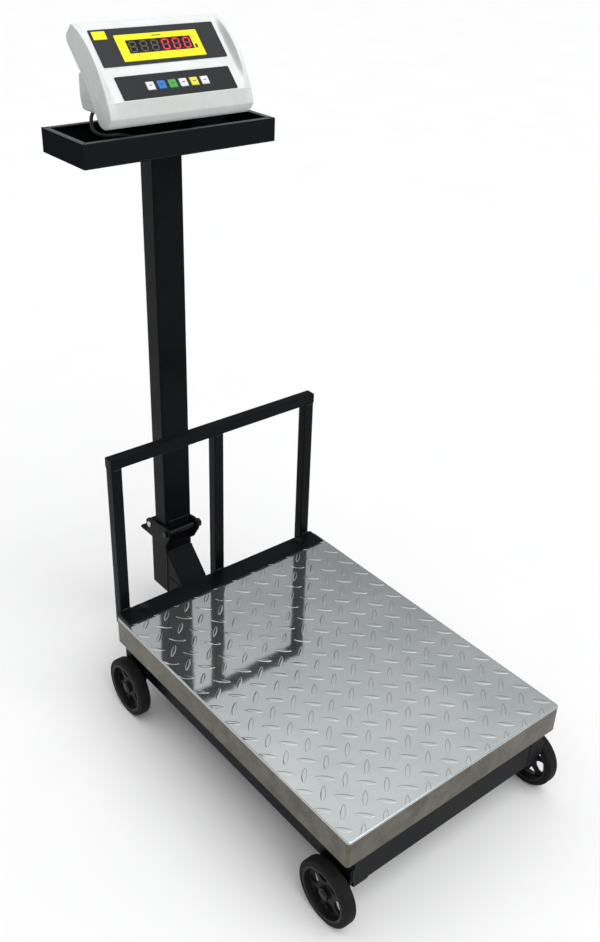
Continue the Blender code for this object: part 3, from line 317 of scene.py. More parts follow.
RUBBER = mottled("tyre_rubber", (0.0055, 0.0055, 0.006), (0.018, 0.017, 0.016), (0.62, 0.86),
                 (85.0, 5.0, 0.7), source=(0.42, 0.75), bump=(0.30, 0.0006),
                 grain=(1500.0, 2.0, 0.6), Specular_IOR_Level=0.16)
WHITE = white_plastic()
FILM_UPPER = printed_film("display_film", (0.018, 0.021, 0.023))
FILM_LOWER = printed_film("keypad_film", (0.008, 0.011, 0.013))
YELLOW = printed_film("yellow_print", (0.97, 0.86, 0.012), 0.42)
BLACK_PRINT = printed_film("black_print", (0.030, 0.028, 0.020), 0.42)
WINDOW = mottled("display_window", (0.004, 0.003, 0.003), (0.020, 0.011, 0.009), (0.07, 0.16),
                 (170.0, 2.0, 0.5), wear=(60.0,), Specular_IOR_Level=0.2)
LIT = digit_segment("segment_lit", (0.72, 0.016, 0.050), 0.55)
UNLIT = digit_segment("segment_unlit", (0.085, 0.075, 0.068), 0.0)
BOARD = circuit_board()
JACKET = mottled("cable_jacket", (0.007, 0.007, 0.008), (0.018, 0.018, 0.018), (0.44, 0.62),
                 (70.0, 4.0, 0.65), source=(0.4, 0.75), bump=(0.12, 0.0004), grain=(900.0, 2.0),
                 Specular_IOR_Level=0.2)
LABEL = mottled("silver_label", (0.55, 0.56, 0.57), (0.68, 0.69, 0.70), (0.24, 0.38),
                (1.0, 2.0, 0.5, (60, 1800, 1800)), metallic=0.6)
KEYS = {
    "white": key_cap("white", (0.82, 0.84, 0.85)),
    "blue": key_cap("blue", (0.008, 0.165, 0.58)),
    "green": key_cap("green", (0.035, 0.40, 0.045)),
    "yellow": key_cap("yellow", (0.86, 0.78, 0.05)),
}


# ---------------------------------------------------------------- outlines and solids


def arc(centre, radius, first, last, steps):
    """Points of an arc between two angles in degrees, both ends included."""
    points = []
    for i in range(steps + 1):
        angle = math.radians(first + (last - first) * i / steps)
        points.append((centre[0] + radius * math.cos(angle), centre[1] + radius * math.sin(angle)))
    return points


def circle(centre, radius, steps):
    return arc(centre, radius, 0, 360, steps)[:-1]


def rounded(half_a, half_b, radius, steps=4):
    """Rectangle round (0, 0) with arcs at its corners."""
    a, b = half_a - radius, half_b - radius
    points = []
    for centre, first in (((a, b), 0), ((-a, b), 90), ((-a, -b), 180), ((a, -b), 270)):
        points += arc(centre, radius, first, first + 90, steps)
    return points


def shifted(outline, centre):
    return [(a + centre[0], b + centre[1]) for a, b in outline]


def panel(centre, half_a, half_b, radius):
    """A rounded rectangle round a given centre."""
    return shifted(rounded(half_a, half_b, radius), centre)


def inset(outline, distance):
    """The outline moved inwards; it runs anticlockwise."""
    moved = []
    count = len(outline)
    for i in range(count):
        before = Vector(outline[i - 1])
        here = Vector(outline[i])
        after = Vector(outline[(i + 1) % count])
        one = (here - before).normalized()
        two = (after - here).normalized()
        normal = Vector((-one.y - two.y, one.x + two.x)).normalized()
        reach = distance / max(0.3, normal.dot(Vector((-one.y, one.x))))
        moved.append(tuple(here + normal * reach))
    return moved


def add_loops(bm, loops, closed=False, caps=True, material=0):
    """Skin a row of loops that hold the same number of points."""
    rows = [[bm.verts.new(point) for point in loop] for loop in loops]
    pairs = list(zip(rows, rows[1:]))
    faces = []
    if closed:
        pairs.append((rows[-1], rows[0]))
    elif caps:
        faces.append(bm.faces.new(rows[0]))
        faces.append(bm.faces.new(reversed(rows[-1])))
    count = len(rows[0])
    for first, second in pairs:
        for i in range(count):
            j = (i + 1) % count
            faces.append(bm.faces.new((first[i], first[j], second[j], second[i])))
    for face in faces:
        face.material_index = material


def add_block(bm, outline, low, high, place, edge):
    """A solid between two levels, with small rounded edges."""
    levels = ((edge, low), (edge * 0.3, low + edge * 0.3), (0.0, low + edge))
    levels += ((0.0, high - edge), (edge * 0.3, high - edge * 0.3), (edge, high))
    loops = []
    for distance, level in levels:
        loops.append([place(a, b, level) for a, b in inset(outline, distance)])
    add_loops(bm, loops)


def around(centre, axis):
    """A function that puts (a, b, distance along the axis) round an axis through the centre."""
    turn = Vector((0, 0, 1)).rotation_difference(Vector(axis)).to_matrix()
    start = Vector(centre)
    return lambda a, b, along: start + turn @ Vector((a, b, along))


def add_turned(bm, profile, centre, axis, steps, closed=False, material=0):
    """Turn (radius, distance along the axis) points round the axis."""
    place = around(centre, axis)
    loops = []
    for radius, along in profile:
        loops.append([place(a, b, along) for a, b in circle((0, 0), radius, steps)])
    add_loops(bm, loops, closed=closed, material=material)


def add_ring(bm, bore, radius, low, high, centre, steps, material):
    """A plain ring along X."""
    profile = [(bore, low), (radius, low), (radius, high), (bore, high)]
    add_turned(bm, profile, centre, ALONG_X, steps, closed=True, material=material)


def mirrored(profile):
    """One half of a turned profile, followed by its mirror image."""
    return profile + [(radius, -along) for radius, along in reversed(profile)]


def add_hex(bm, centre, axis, across, low, high, material=0):
    """A hexagon head or nut between two distances along the axis, chamfered on its far face."""
    place = around(centre, axis)
    rim = across * 0.475
    side = math.copysign(1.0, high - low)
    loops = ([], [], [], [])
    for degrees in range(0, 360, 10):
        angle = math.radians(degrees)
        reach = across / 2 / math.cos(math.radians(degrees % 60 - 30))
        drop = max(0.0, reach - rim) * 0.55
        levels = ((reach, low), (reach, high - side * drop), (rim, high), (rim * 0.55, high))
        for loop, (radius, along) in zip(loops, levels):
            loop.append(place(radius * math.cos(angle), radius * math.sin(angle), along))
    add_loops(bm, loops, material=material)


def placed(axes):
    """A function that puts (a, b, t) on the given row-frame axes."""

    def place(a, b, t):
        point = [0.0, 0.0, 0.0]
        point[axes[0]], point[axes[1]], point[axes[2]] = a, b, t
        return Vector(point)

    return place


ON_X, ON_Y = placed(AXES["x"]), placed(AXES["y"])


def add_tube(bm, node_box, run, radius, wall=0.0025):
    """A hollow section with rounded corners filling the box, open at both ends."""
    low, high = node_box
    a, b, c = AXES[run]
    middle = ((low[a] + high[a]) / 2, (low[b] + high[b]) / 2)
    half_a, half_b = (high[a] - low[a]) / 2, (high[b] - low[b]) / 2
    outer = rounded(half_a, half_b, radius)
    inner = rounded(half_a - wall, half_b - wall, max(0.0008, radius - wall * 0.5))
    burr = 0.0004
    rows = (
        (inner, 0.0, low[c]),
        (outer, burr, low[c]),
        (outer, 0.0, low[c] + burr),
        (outer, 0.0, high[c] - burr),
        (outer, burr, high[c]),
        (inner, 0.0, high[c]),
    )
    place = placed(AXES[run])
    loops = []
    for outline, distance, level in rows:
        moved = shifted(inset(outline, distance), middle)
        loops.append([place(u, v, level) for u, v in moved])
    add_loops(bm, loops, closed=True)


def add_end_caps(bm, box, run, margin, corner):
    """A thin cap in each end of a tube that fills the box."""
    low, high = box
    a, b, c = AXES[run]
    middle, half = (low + high) / 2, (high - low) / 2
    outline = panel((middle[a], middle[b]), half[a] - margin, half[b] - margin, corner)
    for level in (low[c], high[c]):
        add_block(bm, outline, level - 0.0008, level + 0.0008, placed(AXES[run]), 0.0005)


def add_bead(bm, start, end, radius):
    """A weld's row of ripples between two points."""
    start, end = Vector(start), Vector(end)
    length = (end - start).length
    place = around(start, end - start)
    steps = max(6, round(length / 0.0011))
    loops = []
    for i in range(steps + 1):
        along = length * i / steps
        swell = radius * (1.0 + 0.20 * math.cos(2 * math.pi * along / 0.0033))
        swell *= 1.0 + 0.10 * math.sin(along * 431.0 + start.x * 97.0)
        nearest = min(along, length - along) + 0.0004
        swell *= min(1.0, math.sqrt(nearest / radius / 1.5))
        loops.append([place(u, v, along) for u, v in circle((0, 0), swell, 8)])
    add_loops(bm, loops)


def add_beads(bm, box, run, margin, radius, first=None, second=None):
    """Beads along a box, one at each pair of its sides or of the levels given instead."""
    low, high = box
    a, b, c = AXES[run]
    place = placed(AXES[run])
    for u in first or (low[a], high[a]):
        for v in second or (low[b], high[b]):
            add_bead(bm, place(u, v, low[c] + margin), place(u, v, high[c] - margin), radius)


def add_object(name, data):
    made = bpy.data.objects.new(name, data)
    bpy.context.scene.collection.objects.link(made)
    return made


def add_plate(bm, outlines, low, high, place, edge, material=0):
    """A plate with holes: the first outline is its edge and the others are cut out of it."""
    curve = bpy.data.curves.new("plate_outline", "CURVE")
    curve.dimensions = "2D"
    curve.fill_mode = "BOTH"
    thickness = abs(high - low)
    curve.extrude = thickness / 2 - edge
    curve.bevel_depth = edge
    curve.bevel_resolution = 1
    curve.offset = -edge
    for outline in outlines:
        spline = curve.splines.new("POLY")
        spline.points.add(len(outline) - 1)
        for point, (a, b) in zip(spline.points, outline):
            point.co = (a, b, 0.0, 1.0)
        spline.use_cyclic_u = True
    holder = add_object("plate_outline", curve)
    shape = holder.evaluated_get(bpy.context.evaluated_depsgraph_get()).to_mesh()
    part = bmesh.new()
    part.from_mesh(shape)
    bmesh.ops.remove_doubles(part, verts=part.verts, dist=MERGE)
    middle = (low + high) / 2
    for vert in part.verts:
        vert.co = place(vert.co.x, vert.co.y, middle + vert.co.z)
    for face in part.faces:
        face.material_index = material
    finished = bpy.data.meshes.new("plate_part")
    part.to_mesh(finished)
    part.free()
    bm.from_mesh(finished)
    bpy.data.objects.remove(holder)
    bpy.data.curves.remove(curve)
    bpy.data.meshes.remove(finished)


# ---------------------------------------------------------------- pieces


def weigh_normals(piece):
    """Keep flat faces flat beside their rounded edges."""
    weighted = piece.modifiers.new("Weighted", "WEIGHTED_NORMAL")
    weighted.keep_sharp = True


def show(name, bm, finishes, body, replaces=(), angle=SHARP):
    """Turn a bmesh into a piece that rides on a body, takes the given finishes and may stand for CAD
    nodes.
    """
    bmesh.ops.recalc_face_normals(bm, faces=bm.faces)
    mesh = bpy.data.meshes.new(name)
    bm.to_mesh(mesh)
    bm.free()
    for finish in finishes:
        mesh.materials.append(finish)
    mesh.shade_smooth()
    mesh.set_sharp_from_angle(angle=math.radians(angle))
    piece = add_object(name, mesh)
    weigh_normals(piece)
    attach(piece, body)
    if replaces:
        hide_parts(*replaces)


def carry(node, finish, edge, angle=SHARP):
    """Show a CAD node itself, with its own mesh, in a new finish and with softened edges."""
    piece = frame["nodes"][node]
    mesh = piece.data
    mesh.materials.clear()
    mesh.materials.append(finish)
    custom = mesh.attributes.get("custom_normal")
    if custom:
        mesh.attributes.remove(custom)
    mesh.shade_smooth()
    weld = piece.modifiers.new("Weld", "WELD")
    weld.merge_threshold = 0.00001
    flat = piece.modifiers.new("Flat", "DECIMATE")
    flat.decimate_type = "DISSOLVE"
    flat.angle_limit = math.radians(0.5)
    if edge:
        soft = piece.modifiers.new("Soft edges", "BEVEL")
        soft.width = edge
        soft.segments = 2
        soft.limit_method = "ANGLE"
        soft.angle_limit = math.radians(angle)
    weigh_normals(piece)
    return piece


def show_welds(name, bm, body="base"):
    show(name, bm, [WELD], body, angle=80)


def show_tubes(runs, finish, radius, wall=0.0025):
    """Show tubes as hollow sections, each along its run."""
    for node, run in runs.items():
        bm = bmesh.new()
        add_tube(bm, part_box(node), run, radius, wall)
        show(node + "_tube", bm, [finish], "base", [node])


def middle_of(node):
    low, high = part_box(node)
    return (low + high) / 2


# ---------------------------------------------------------------- deck


MARK_LENGTH, MARK_WIDTH = 0.0305, 0.0082
MARK_PITCH = (0.0424, 0.0434)
MARK_FIRST = ((45, -0.195, -0.261), (-45, -0.2159, -0.2835))  # slant in degrees, x, y
MARK_STEPS = (  # share of the mark's length and width, height over the sheet
    (1, 1, -0.0001),
    (0.985, 0.93, 0.00014),
    (0.96, 0.82, 0.00032),
    (0.90, 0.64, 0.00044),
    (0.70, 0.30, 0.00049),
)


def clip(outline, low, high):
    """A convex outline cut to a rectangle."""
    for axis in (0, 1):
        for limit, sign in ((low[axis], 1), (high[axis], -1)):
            kept = []
            for here, after in zip(outline, outline[1:] + outline[:1]):
                inside = (here[axis] - limit) * sign
                outside = (after[axis] - limit) * sign
                if inside >= 0:
                    kept.append(here)
                if (inside >= 0) != (outside >= 0):
                    share = inside / (inside - outside)
                    kept.append(tuple(p + (q - p) * share for p, q in zip(here, after)))
            outline = kept
            if len(outline) < 3:
                return []
    return outline


def lens(centre, slant):
    """Outline of one raised mark, long axis at the given angle."""
    points = []
    for degrees in range(0, 360, 20):
        angle = math.radians(degrees)
        along = MARK_LENGTH / 2 * math.cos(angle)
        across = MARK_WIDTH / 2 * math.copysign(abs(math.sin(angle)) ** 1.35, math.sin(angle))
        a = centre[0] + along * math.cos(slant) - across * math.sin(slant)
        b = centre[1] + along * math.sin(slant) + across * math.cos(slant)
        points.append((a, b))
    return points


def add_mark(bm, outline, slant, top):
    """One mark: narrow flanks and a low, nearly flat top."""
    count = len(outline)
    middle = Vector((sum(p[0] for p in outline) / count, sum(p[1] for p in outline) / count))
    long_axis = Vector((math.cos(slant), math.sin(slant)))
    cross_axis = Vector((-math.sin(slant), math.cos(slant)))
    rows = []
    for along, across, rise in MARK_STEPS:
        row = []
        for point in outline:
            away = Vector(point) - middle
            moved = middle + long_axis * away.dot(long_axis) * along
            moved += cross_axis * away.dot(cross_axis) * across
            row.append(Vector((moved.x, moved.y, top + rise)))
        rows.append(row)
    add_loops(bm, rows[:3], caps=False, material=1)
    add_loops(bm, rows[2:])


def make_deck():
    """Folded sheet with rounded bends, and the chequer marks rolled into it."""
    low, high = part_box("deck_plate")
    middle = (low + high) / 2
    half_x, half_y = (high.x - low.x) / 2, (high.y - low.y) / 2
    bend, sheet, burr = 0.0020, 0.0018, 0.0003
    levels = [(sheet, high.z - sheet), (sheet, low.z), (burr, low.z), (0.0, low.z + burr)]
    levels += arc((bend, high.z - bend), bend, 180, 90, 6)
    loops = []
    for distance, z in levels:
        corner = max(0.0007, 0.0055 - distance)
        outline = rounded(half_x - distance, half_y - distance, corner, 6)
        loops.append([Vector((a, b + middle.y, z)) for a, b in outline])
    bm = bmesh.new()
    add_loops(bm, loops)
    show("deck_sheet", bm, [STAINLESS], "base", ["deck_plate"], angle=50)

    foot_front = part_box("guard_foot_bar")[0].y
    flat_low = (low.x + bend, low.y + bend)
    flat_high = (high.x - bend, foot_front + 0.002)
    columns, rows = range(-1, 12), range(-1, 14)
    bm = bmesh.new()
    for slant, first_x, first_y in MARK_FIRST:
        turn = math.radians(slant)
        for i in columns:
            for j in rows:
                centre = (first_x + MARK_PITCH[0] * i, middle.y + first_y + MARK_PITCH[1] * j)
                outline = clip(lens(centre, turn), flat_low, flat_high)
                if outline:
                    add_mark(bm, outline, turn, high.z)
    bmesh.ops.remove_doubles(bm, verts=bm.verts, dist=MERGE)
    show("deck_marks", bm, [STAINLESS, FLANK], "base", angle=75)


def make_deck_frame():
    runs = {"deck_rail_left": "y", "deck_rail_right": "y", "deck_cross_front": "x",
            "deck_cross_rear": "x"}
    show_tubes(runs, PRIMER, 0.0026)
    for node in ("deck_centre_beam", "base_centre_beam"):
        carry(node, PRIMER, 0.0008)
    carry("load_cell", ALUMINIUM, 0.0004)
    for node in ("load_cell_clamp_upper", "load_cell_clamp_lower"):
        carry(node, ZINC, 0.0003)


# ---------------------------------------------------------------- base and wheels


def make_base():
    """Painted tubes with their welds, and a cap in each end of the side rails."""
    runs = {"base_rail_left": "y", "base_rail_right": "y", "base_cross_front": "x",
            "base_cross_rear": "x", "column_arm": "y", "column_stub": "z"}
    show_tubes(runs, PAINT, 0.0032)
    carry("column_brace", PAINT, 0.0008)
    bm = bmesh.new()
    for node in ("base_cross_front", "base_cross_rear"):
        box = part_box(node)
        add_beads(bm, box, "z", 0.003, 0.0020, second=(box[0].y + 0.002, box[1].y - 0.002))
        add_beads(bm, box, "y", 0.003, 0.0018)
    arm, brace, stub = (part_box("column_" + part) for part in ("arm", "brace", "stub"))
    add_beads(bm, arm, "x", 0.002, 0.0022)
    add_beads(bm, arm, "z", 0.002, 0.0018)
    brace_top, brace_rear = (brace[1].z,), (brace[1].y,)
    add_beads(bm, brace, "z", 0.002, 0.0016, second=brace_rear)
    add_beads(bm, brace, "y", 0.002, 0.0016, second=(brace[0].z,))
    add_beads(bm, brace, "x", 0.002, 0.0016, brace_rear, brace_top)
    for run in "xy":
        add_beads(bm, stub, run, 0.002, 0.0016, second=(stub[1].z,))
    show_welds("base_welds", bm)

    bm = bmesh.new()
    for node in ("base_rail_left", "base_rail_right"):
        add_end_caps(bm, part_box(node), "y", 0.0004, 0.0028)
    show("base_rail_ends", bm, [PAINT], "base")


def make_axles():
    """Welded plate, bolt head behind it, and the nut and washer outside the wheel."""
    washer, clear, plate_half, plate_round = 0.0012, 0.0003, 0.032, 0.020
    head_across, nut_across = 0.019, 0.0185
    for corner in CORNERS:
        node = "axle_" + corner
        centre = middle_of("wheel_" + corner)
        side = math.copysign(1.0, centre.x)
        wheel_inner, wheel_outer = sorted(abs(v.x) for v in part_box("wheel_" + corner))
        end = max(abs(v.x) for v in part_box(node))
        rail_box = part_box("base_rail_" + corner.split("_")[1])
        rail = max(abs(v.x) for v in rail_box)
        near, far = rail + clear, rail + clear + 0.005
        front, rear = centre.y - plate_half, centre.y + plate_half
        shoulder, top = rail_box[0].z + 0.012, rail_box[0].z + 0.040
        outline = arc((centre.y, centre.z), plate_round, 180, 360, 12)
        outline += [(rear, shoulder), (rear, top), (front, top), (front, shoulder)]
        bm = bmesh.new()
        low, high = sorted((side * near, side * far))
        add_block(bm, outline, low, high, ON_X, 0.0006)
        start = (0, centre.y, centre.z)
        add_hex(bm, start, ALONG_X, head_across, side * rail, side * (rail - 0.0077), 1)
        bolt = [(0.0058, side * near), (0.0058, side * (end - 0.001)), (0.0050, side * end)]
        add_turned(bm, bolt, start, ALONG_X, 24, material=1)
        seat = wheel_outer - 0.0072
        add_ring(bm, 0.0065, 0.0118, side * seat, side * (seat + washer), start, 32, 1)
        add_hex(bm, start, ALONG_X, nut_across, side * (seat + washer), side * (end - 0.0012), 1)
        add_ring(bm, 0.0062, 0.0095, side * far, side * (wheel_inner - 0.0002), start, 28, 1)
        show(node + "_hardware", bm, [PAINT, BLACK_BOLT], "base", [node])
        bm = bmesh.new()
        x = side * (rail + 0.001)
        for y in (front, rear):
            add_bead(bm, (x, y, shoulder + 0.002), (x, y, top - 0.001), 0.0017)
        z = top + 0.0005
        add_bead(bm, (x, front + 0.001, z), (x, rear - 0.001, z), 0.0017)
        show_welds(node + "_welds", bm)


def window_outline(centre, turned):
    """One rounded opening in a wheel's web, in (y, z)."""
    points = []
    middle, half_depth, half_angle = 0.0281, 0.0093, math.radians(24)
    for i in range(22):
        angle = 2 * math.pi * i / 22
        radial = middle + half_depth * math.copysign(abs(math.cos(angle)) ** 0.8, math.cos(angle))
        spread = half_angle * math.copysign(abs(math.sin(angle)) ** 0.8, math.sin(angle))
        spread *= 0.78 + 0.22 * (radial - middle + half_depth) / (2 * half_depth)
        turn = math.radians(turned) - spread
        points.append((centre.y + radial * math.cos(turn), centre.z + radial * math.sin(turn)))
    return points


def make_wheels():
    """Smooth tyre, and a hub with a rolled rim, a pierced web and a boss."""
    for corner in CORNERS:
        body = "wheel_" + corner
        centre = middle_of("tyre_" + corner)
        side = math.copysign(1.0, centre.x)
        radius = centre.z
        half = (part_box(body)[1].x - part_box(body)[0].x) / 2
        tread = half - 0.0005
        profile = [(0.0458, -tread), (radius - 0.0034, -tread), (radius - 0.0012, -tread + 0.0010),
                   (radius - 0.0002, -tread + 0.0030), (radius, -tread + 0.0042)]
        bm = bmesh.new()
        add_turned(bm, mirrored(profile), centre, ALONG_X, 72, closed=True)
        show("tyre_ring_" + corner, bm, [RUBBER], body, ["tyre_" + corner], angle=40)

        bm = bmesh.new()
        rim = [(0.0455, -half + 0.0008), (0.0449, -half), (0.0407, -half), (0.0399, -half + 0.0008),
               (0.0390, -0.0030)]
        add_turned(bm, mirrored(rim), centre, ALONG_X, 72, closed=True)
        hub = (centre.y, centre.z)
        web_radius, web_bore, web_half = 0.0396, 0.0075, 0.0026
        outlines = [circle(hub, web_radius, 60), circle(hub, web_bore, 36)]
        outlines += [window_outline(centre, turn) for turn in range(12, 360, 60)]
        add_plate(bm, outlines, centre.x - web_half, centre.x + web_half, ON_X, 0.0009)
        boss_in, boss_out = -side * half, side * (half - 0.0075)
        boss = [(0.0064, boss_in), (0.0132, boss_in), (0.0146, -side * 0.0030), (0.0150, side * 0.0026),
                (0.0136, boss_out - side * 0.0005), (0.0130, boss_out), (0.0064, boss_out)]
        add_turned(bm, boss, centre, ALONG_X, 44, closed=True)
        show("hub_" + corner, bm, [WHEEL], body, [body], angle=40)


# ---------------------------------------------------------------- guard


def make_guard():
    """Tubes with their welds and end caps, and the bolts that hold the foot bar."""
    posts = ("guard_post_left", "guard_post_middle", "guard_post_right")
    runs = {"guard_top_rail": "x", **{post: "z" for post in posts}}
    show_tubes(runs, PAINT, 0.0022, 0.0016)
    carry("guard_foot_bar", PAINT, 0.0007)

    bar_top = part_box("guard_foot_bar")[1].z
    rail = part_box("guard_top_rail")
    under_rail = (rail[0].z,)
    bm = bmesh.new()
    for post in posts:
        low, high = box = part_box(post)
        add_beads(bm, box, "x", 0.001, 0.0024, (low.y,), (bar_top,))
        for run in "xy":
            add_beads(bm, box, run, 0.002, 0.0015, second=under_rail)
        y = low.y - 0.0002
        for x in (low.x, high.x):
            add_bead(bm, (x, y, bar_top - 0.030), (x, y, bar_top), 0.0017)
    show_welds("guard_welds", bm)

    bm = bmesh.new()
    add_end_caps(bm, rail, "x", 0.00035, 0.0020)
    show("guard_rail_ends", bm, [PAINT], "base")

    for side in ("left", "right"):
        node = "guard_bolt_" + side
        low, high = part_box(node)
        middle = (low + high) / 2
        start = (middle.x, middle.y, 0)
        across = 0.013
        bm = bmesh.new()
        washer = [(0.0045, bar_top), (0.0088, bar_top), (0.0090, bar_top + 0.0003),
                  (0.0088, bar_top + 0.0012), (0.0045, bar_top + 0.0012)]
        add_turned(bm, washer, start, UPRIGHT, 36, closed=True)
        add_hex(bm, start, UPRIGHT, across, bar_top + 0.0012, high.z)
        shank = [(0.0039, low.z), (0.0040, low.z + 0.0006), (0.0040, bar_top)]
        add_turned(bm, shank, start, UPRIGHT, 20)
        add_hex(bm, start, UPRIGHT, across, low.z + 0.0086, low.z + 0.0021)
        show(node + "_hex", bm, [BLACK_BOLT], "base", [node])


# ---------------------------------------------------------------- column


def make_column():
    """Tube with its knuckle and pad, and the fold joint's saddle, pin, rod and knob."""
    low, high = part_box("column")
    pin = middle_of("fold_pin")
    rod = middle_of("clamp_rod")
    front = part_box("column_stub")[0].y
    rear = front + 0.038
    tube = (Vector((-high.x, front, low.z)), Vector((high.x, rear, high.z)))
    barrel, knuckle_half, pad_half = 0.0115, 0.025, 0.024
    bm = bmesh.new()
    add_tube(bm, tube, "z", 0.0032)
    knuckle = [(rear - 0.001, pin.z - barrel), *arc((pin.y, pin.z), barrel, -90, 90, 12),
               (rear - 0.001, pin.z + barrel)]
    add_block(bm, knuckle, -knuckle_half, knuckle_half, ON_X, 0.0005)
    pad = panel((front - 0.0010, rod.z + 0.013), 0.0020, 0.0080, 0.0008)
    add_block(bm, pad, -pad_half, pad_half, ON_X, 0.0005)
    show("column_tube", bm, [PAINT], "column", ["column"])

    bm = bmesh.new()
    for reach, y, z, radius in ((pad_half - 0.0005, front - 0.0005, rod.z + 0.0055, 0.0015),
                                (pad_half - 0.0005, front - 0.0005, rod.z + 0.0208, 0.0015),
                                (knuckle_half - 0.0005, rear + 0.0003, pin.z - barrel, 0.0016),
                                (knuckle_half - 0.0005, rear + 0.0003, pin.z + barrel, 0.0016)):
        add_bead(bm, (-reach, y, z), (reach, y, z), radius)
    for run in "xy":
        add_beads(bm, tube, run, 0.002, 0.0016, second=(high.z - 0.0004,))
    show_welds("column_welds", bm, "column")

    carry("hinge_saddle", PAINT, 0.0005, angle=40)
    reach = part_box("fold_pin")[1].x
    head = reach - 0.0022
    profile = [(0.0042, -reach), (0.0056, -reach + 0.0006), (0.0060, -reach + 0.0014),
               (0.0060, -head), (0.0040, -head)]
    bm = bmesh.new()
    add_turned(bm, mirrored(profile), (0, pin.y, pin.z), ALONG_X, 32)
    show("fold_pin_turned", bm, [ZINC], "base", ["fold_pin"])

    bm = bmesh.new()
    start = (0, rod.y, rod.z)
    rod_low, rod_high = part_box("clamp_rod")
    head = rod_low.x + 0.004
    profile = [(0.0046, head), (0.0046, rod_high.x - 0.0006), (0.0040, rod_high.x)]
    add_turned(bm, profile, start, ALONG_X, 28)
    add_hex(bm, start, ALONG_X, 0.011, head, rod_low.x)
    show("clamp_rod_turned", bm, [BLACK_ROD], "clamp", ["clamp_rod"])

    low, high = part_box("clamp_knob")
    grip, flute = 0.0085, 0.0009
    bm = bmesh.new()
    loops = []
    for distance, x in ((0.0035, low.x), (0.0012, low.x), (0.0, low.x + 0.0012),
                        (0.0, high.x - 0.0020), (0.0006, high.x - 0.0009),
                        (0.0022, high.x - 0.0001), (0.0050, high.x + 0.0003)):
        loop = []
        for i in range(64):
            angle = 2 * math.pi * i / 64
            reach = grip - flute * (0.5 - 0.5 * math.cos(8 * angle))
            reach *= 1.0 - distance / grip
            y, z = rod.y + reach * math.cos(angle), rod.z + reach * math.sin(angle)
            loop.append(Vector((x, y, z)))
        loops.append(loop)
    add_loops(bm, loops)
    show("clamp_knob_fluted", bm, [BLACK], "clamp", ["clamp_knob"], angle=50)


# ---------------------------------------------------------------- tray and stand


def make_tray():
    carry("tray_frame", TRAY, 0.0006)
    carry("tray_floor", TRAY, 0.0004)
    carry("indicator_stand", PAINT, 0.0006)
    low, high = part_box("tray_frame")
    z = high.z - 0.0006
    bm = bmesh.new()
    for x in (low.x, high.x):
        for y in (low.y, high.y):
            inner_x = x - math.copysign(0.0092, x)
            inner_y = y - math.copysign(0.0092, y - (low.y + high.y) / 2)
            add_bead(bm, (x * 0.9985, y, z), (inner_x, inner_y, z), 0.0011)
    show_welds("tray_welds", bm, "column")
    bm = bmesh.new()
    foot = (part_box("tray_floor")[1].z + 0.0005,)
    add_beads(bm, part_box("indicator_stand"), "y", 0.002, 0.0014, second=foot)
    show_welds("stand_welds", bm, "column")


# ---------------------------------------------------------------- indicator


PRESS = next(j for j in frame["joints"] if j["name"] == "press_key_1")["axis"]
SIN, COS = PRESS[1], -PRESS[2]
OVERLAY_U = (0.016, 0.080)  # where the display overlay lies down the slab's face
OVERLAY_N = (-0.0003, -0.0011)
OVERLAY_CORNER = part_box("display_overlay")[1]
TOP_Z = OVERLAY_CORNER.z + OVERLAY_U[0] * SIN + OVERLAY_N[1] * COS
TOP_Y = OVERLAY_CORNER.y + OVERLAY_U[0] * COS - OVERLAY_N[0] * SIN
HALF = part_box("indicator_front_shell")[1].x
SEAM = 0.026
NOSE_U = 0.139
NOSE_TIP = (0.1585, 0.012)
NOSE_FOOT_U = 0.1605
SCREW_X, SCREW_U, SCREW_N = 0.112, (0.020, 0.050), 0.0338
CHEEK_START = (0.002, 0.0005)
CHEEK_PULL = (0.068, -0.032)
BACK = (  # u, n round the back of the housing, from its lower end up
    (0.1600, 0.0330),
    (0.1555, 0.0410),
    (0.1480, 0.0465),
    (0.1390, 0.0480),
    (0.0960, 0.0375),
    (0.0600, 0.0340),
    (0.0080, 0.0335),
    (0.0000, 0.0275),
)


def in_slab(x, u, n):
    """A point of the indicator: u down its face, n into its depth."""
    return Vector((x, TOP_Y - u * COS + n * SIN, TOP_Z - u * SIN - n * COS))


def smooth(value):
    value = min(1.0, max(0.0, value))
    return value * value * (3 - 2 * value)


def face_n(u):
    """Depth of the flat face panel, then of the nose's upper facet."""
    if u < NOSE_U:
        return 0.0
    return (u - NOSE_U) * NOSE_TIP[1] / (NOSE_TIP[0] - NOSE_U)


def cheek_n(u):
    """Depth of the cheeks' bowed edge: a quadratic curve drawn towards its pull point."""
    a = CHEEK_START[0] - 2 * CHEEK_PULL[0] + NOSE_TIP[0]
    b = 2 * (CHEEK_PULL[0] - CHEEK_START[0])
    c = CHEEK_START[0] - max(u, CHEEK_START[0])
    t = (math.sqrt(b * b - 4 * a * c) - b) / (2 * a)
    return (1 - t) ** 2 * CHEEK_START[1] + 2 * t * (1 - t) * CHEEK_PULL[1] + t * t * NOSE_TIP[1]


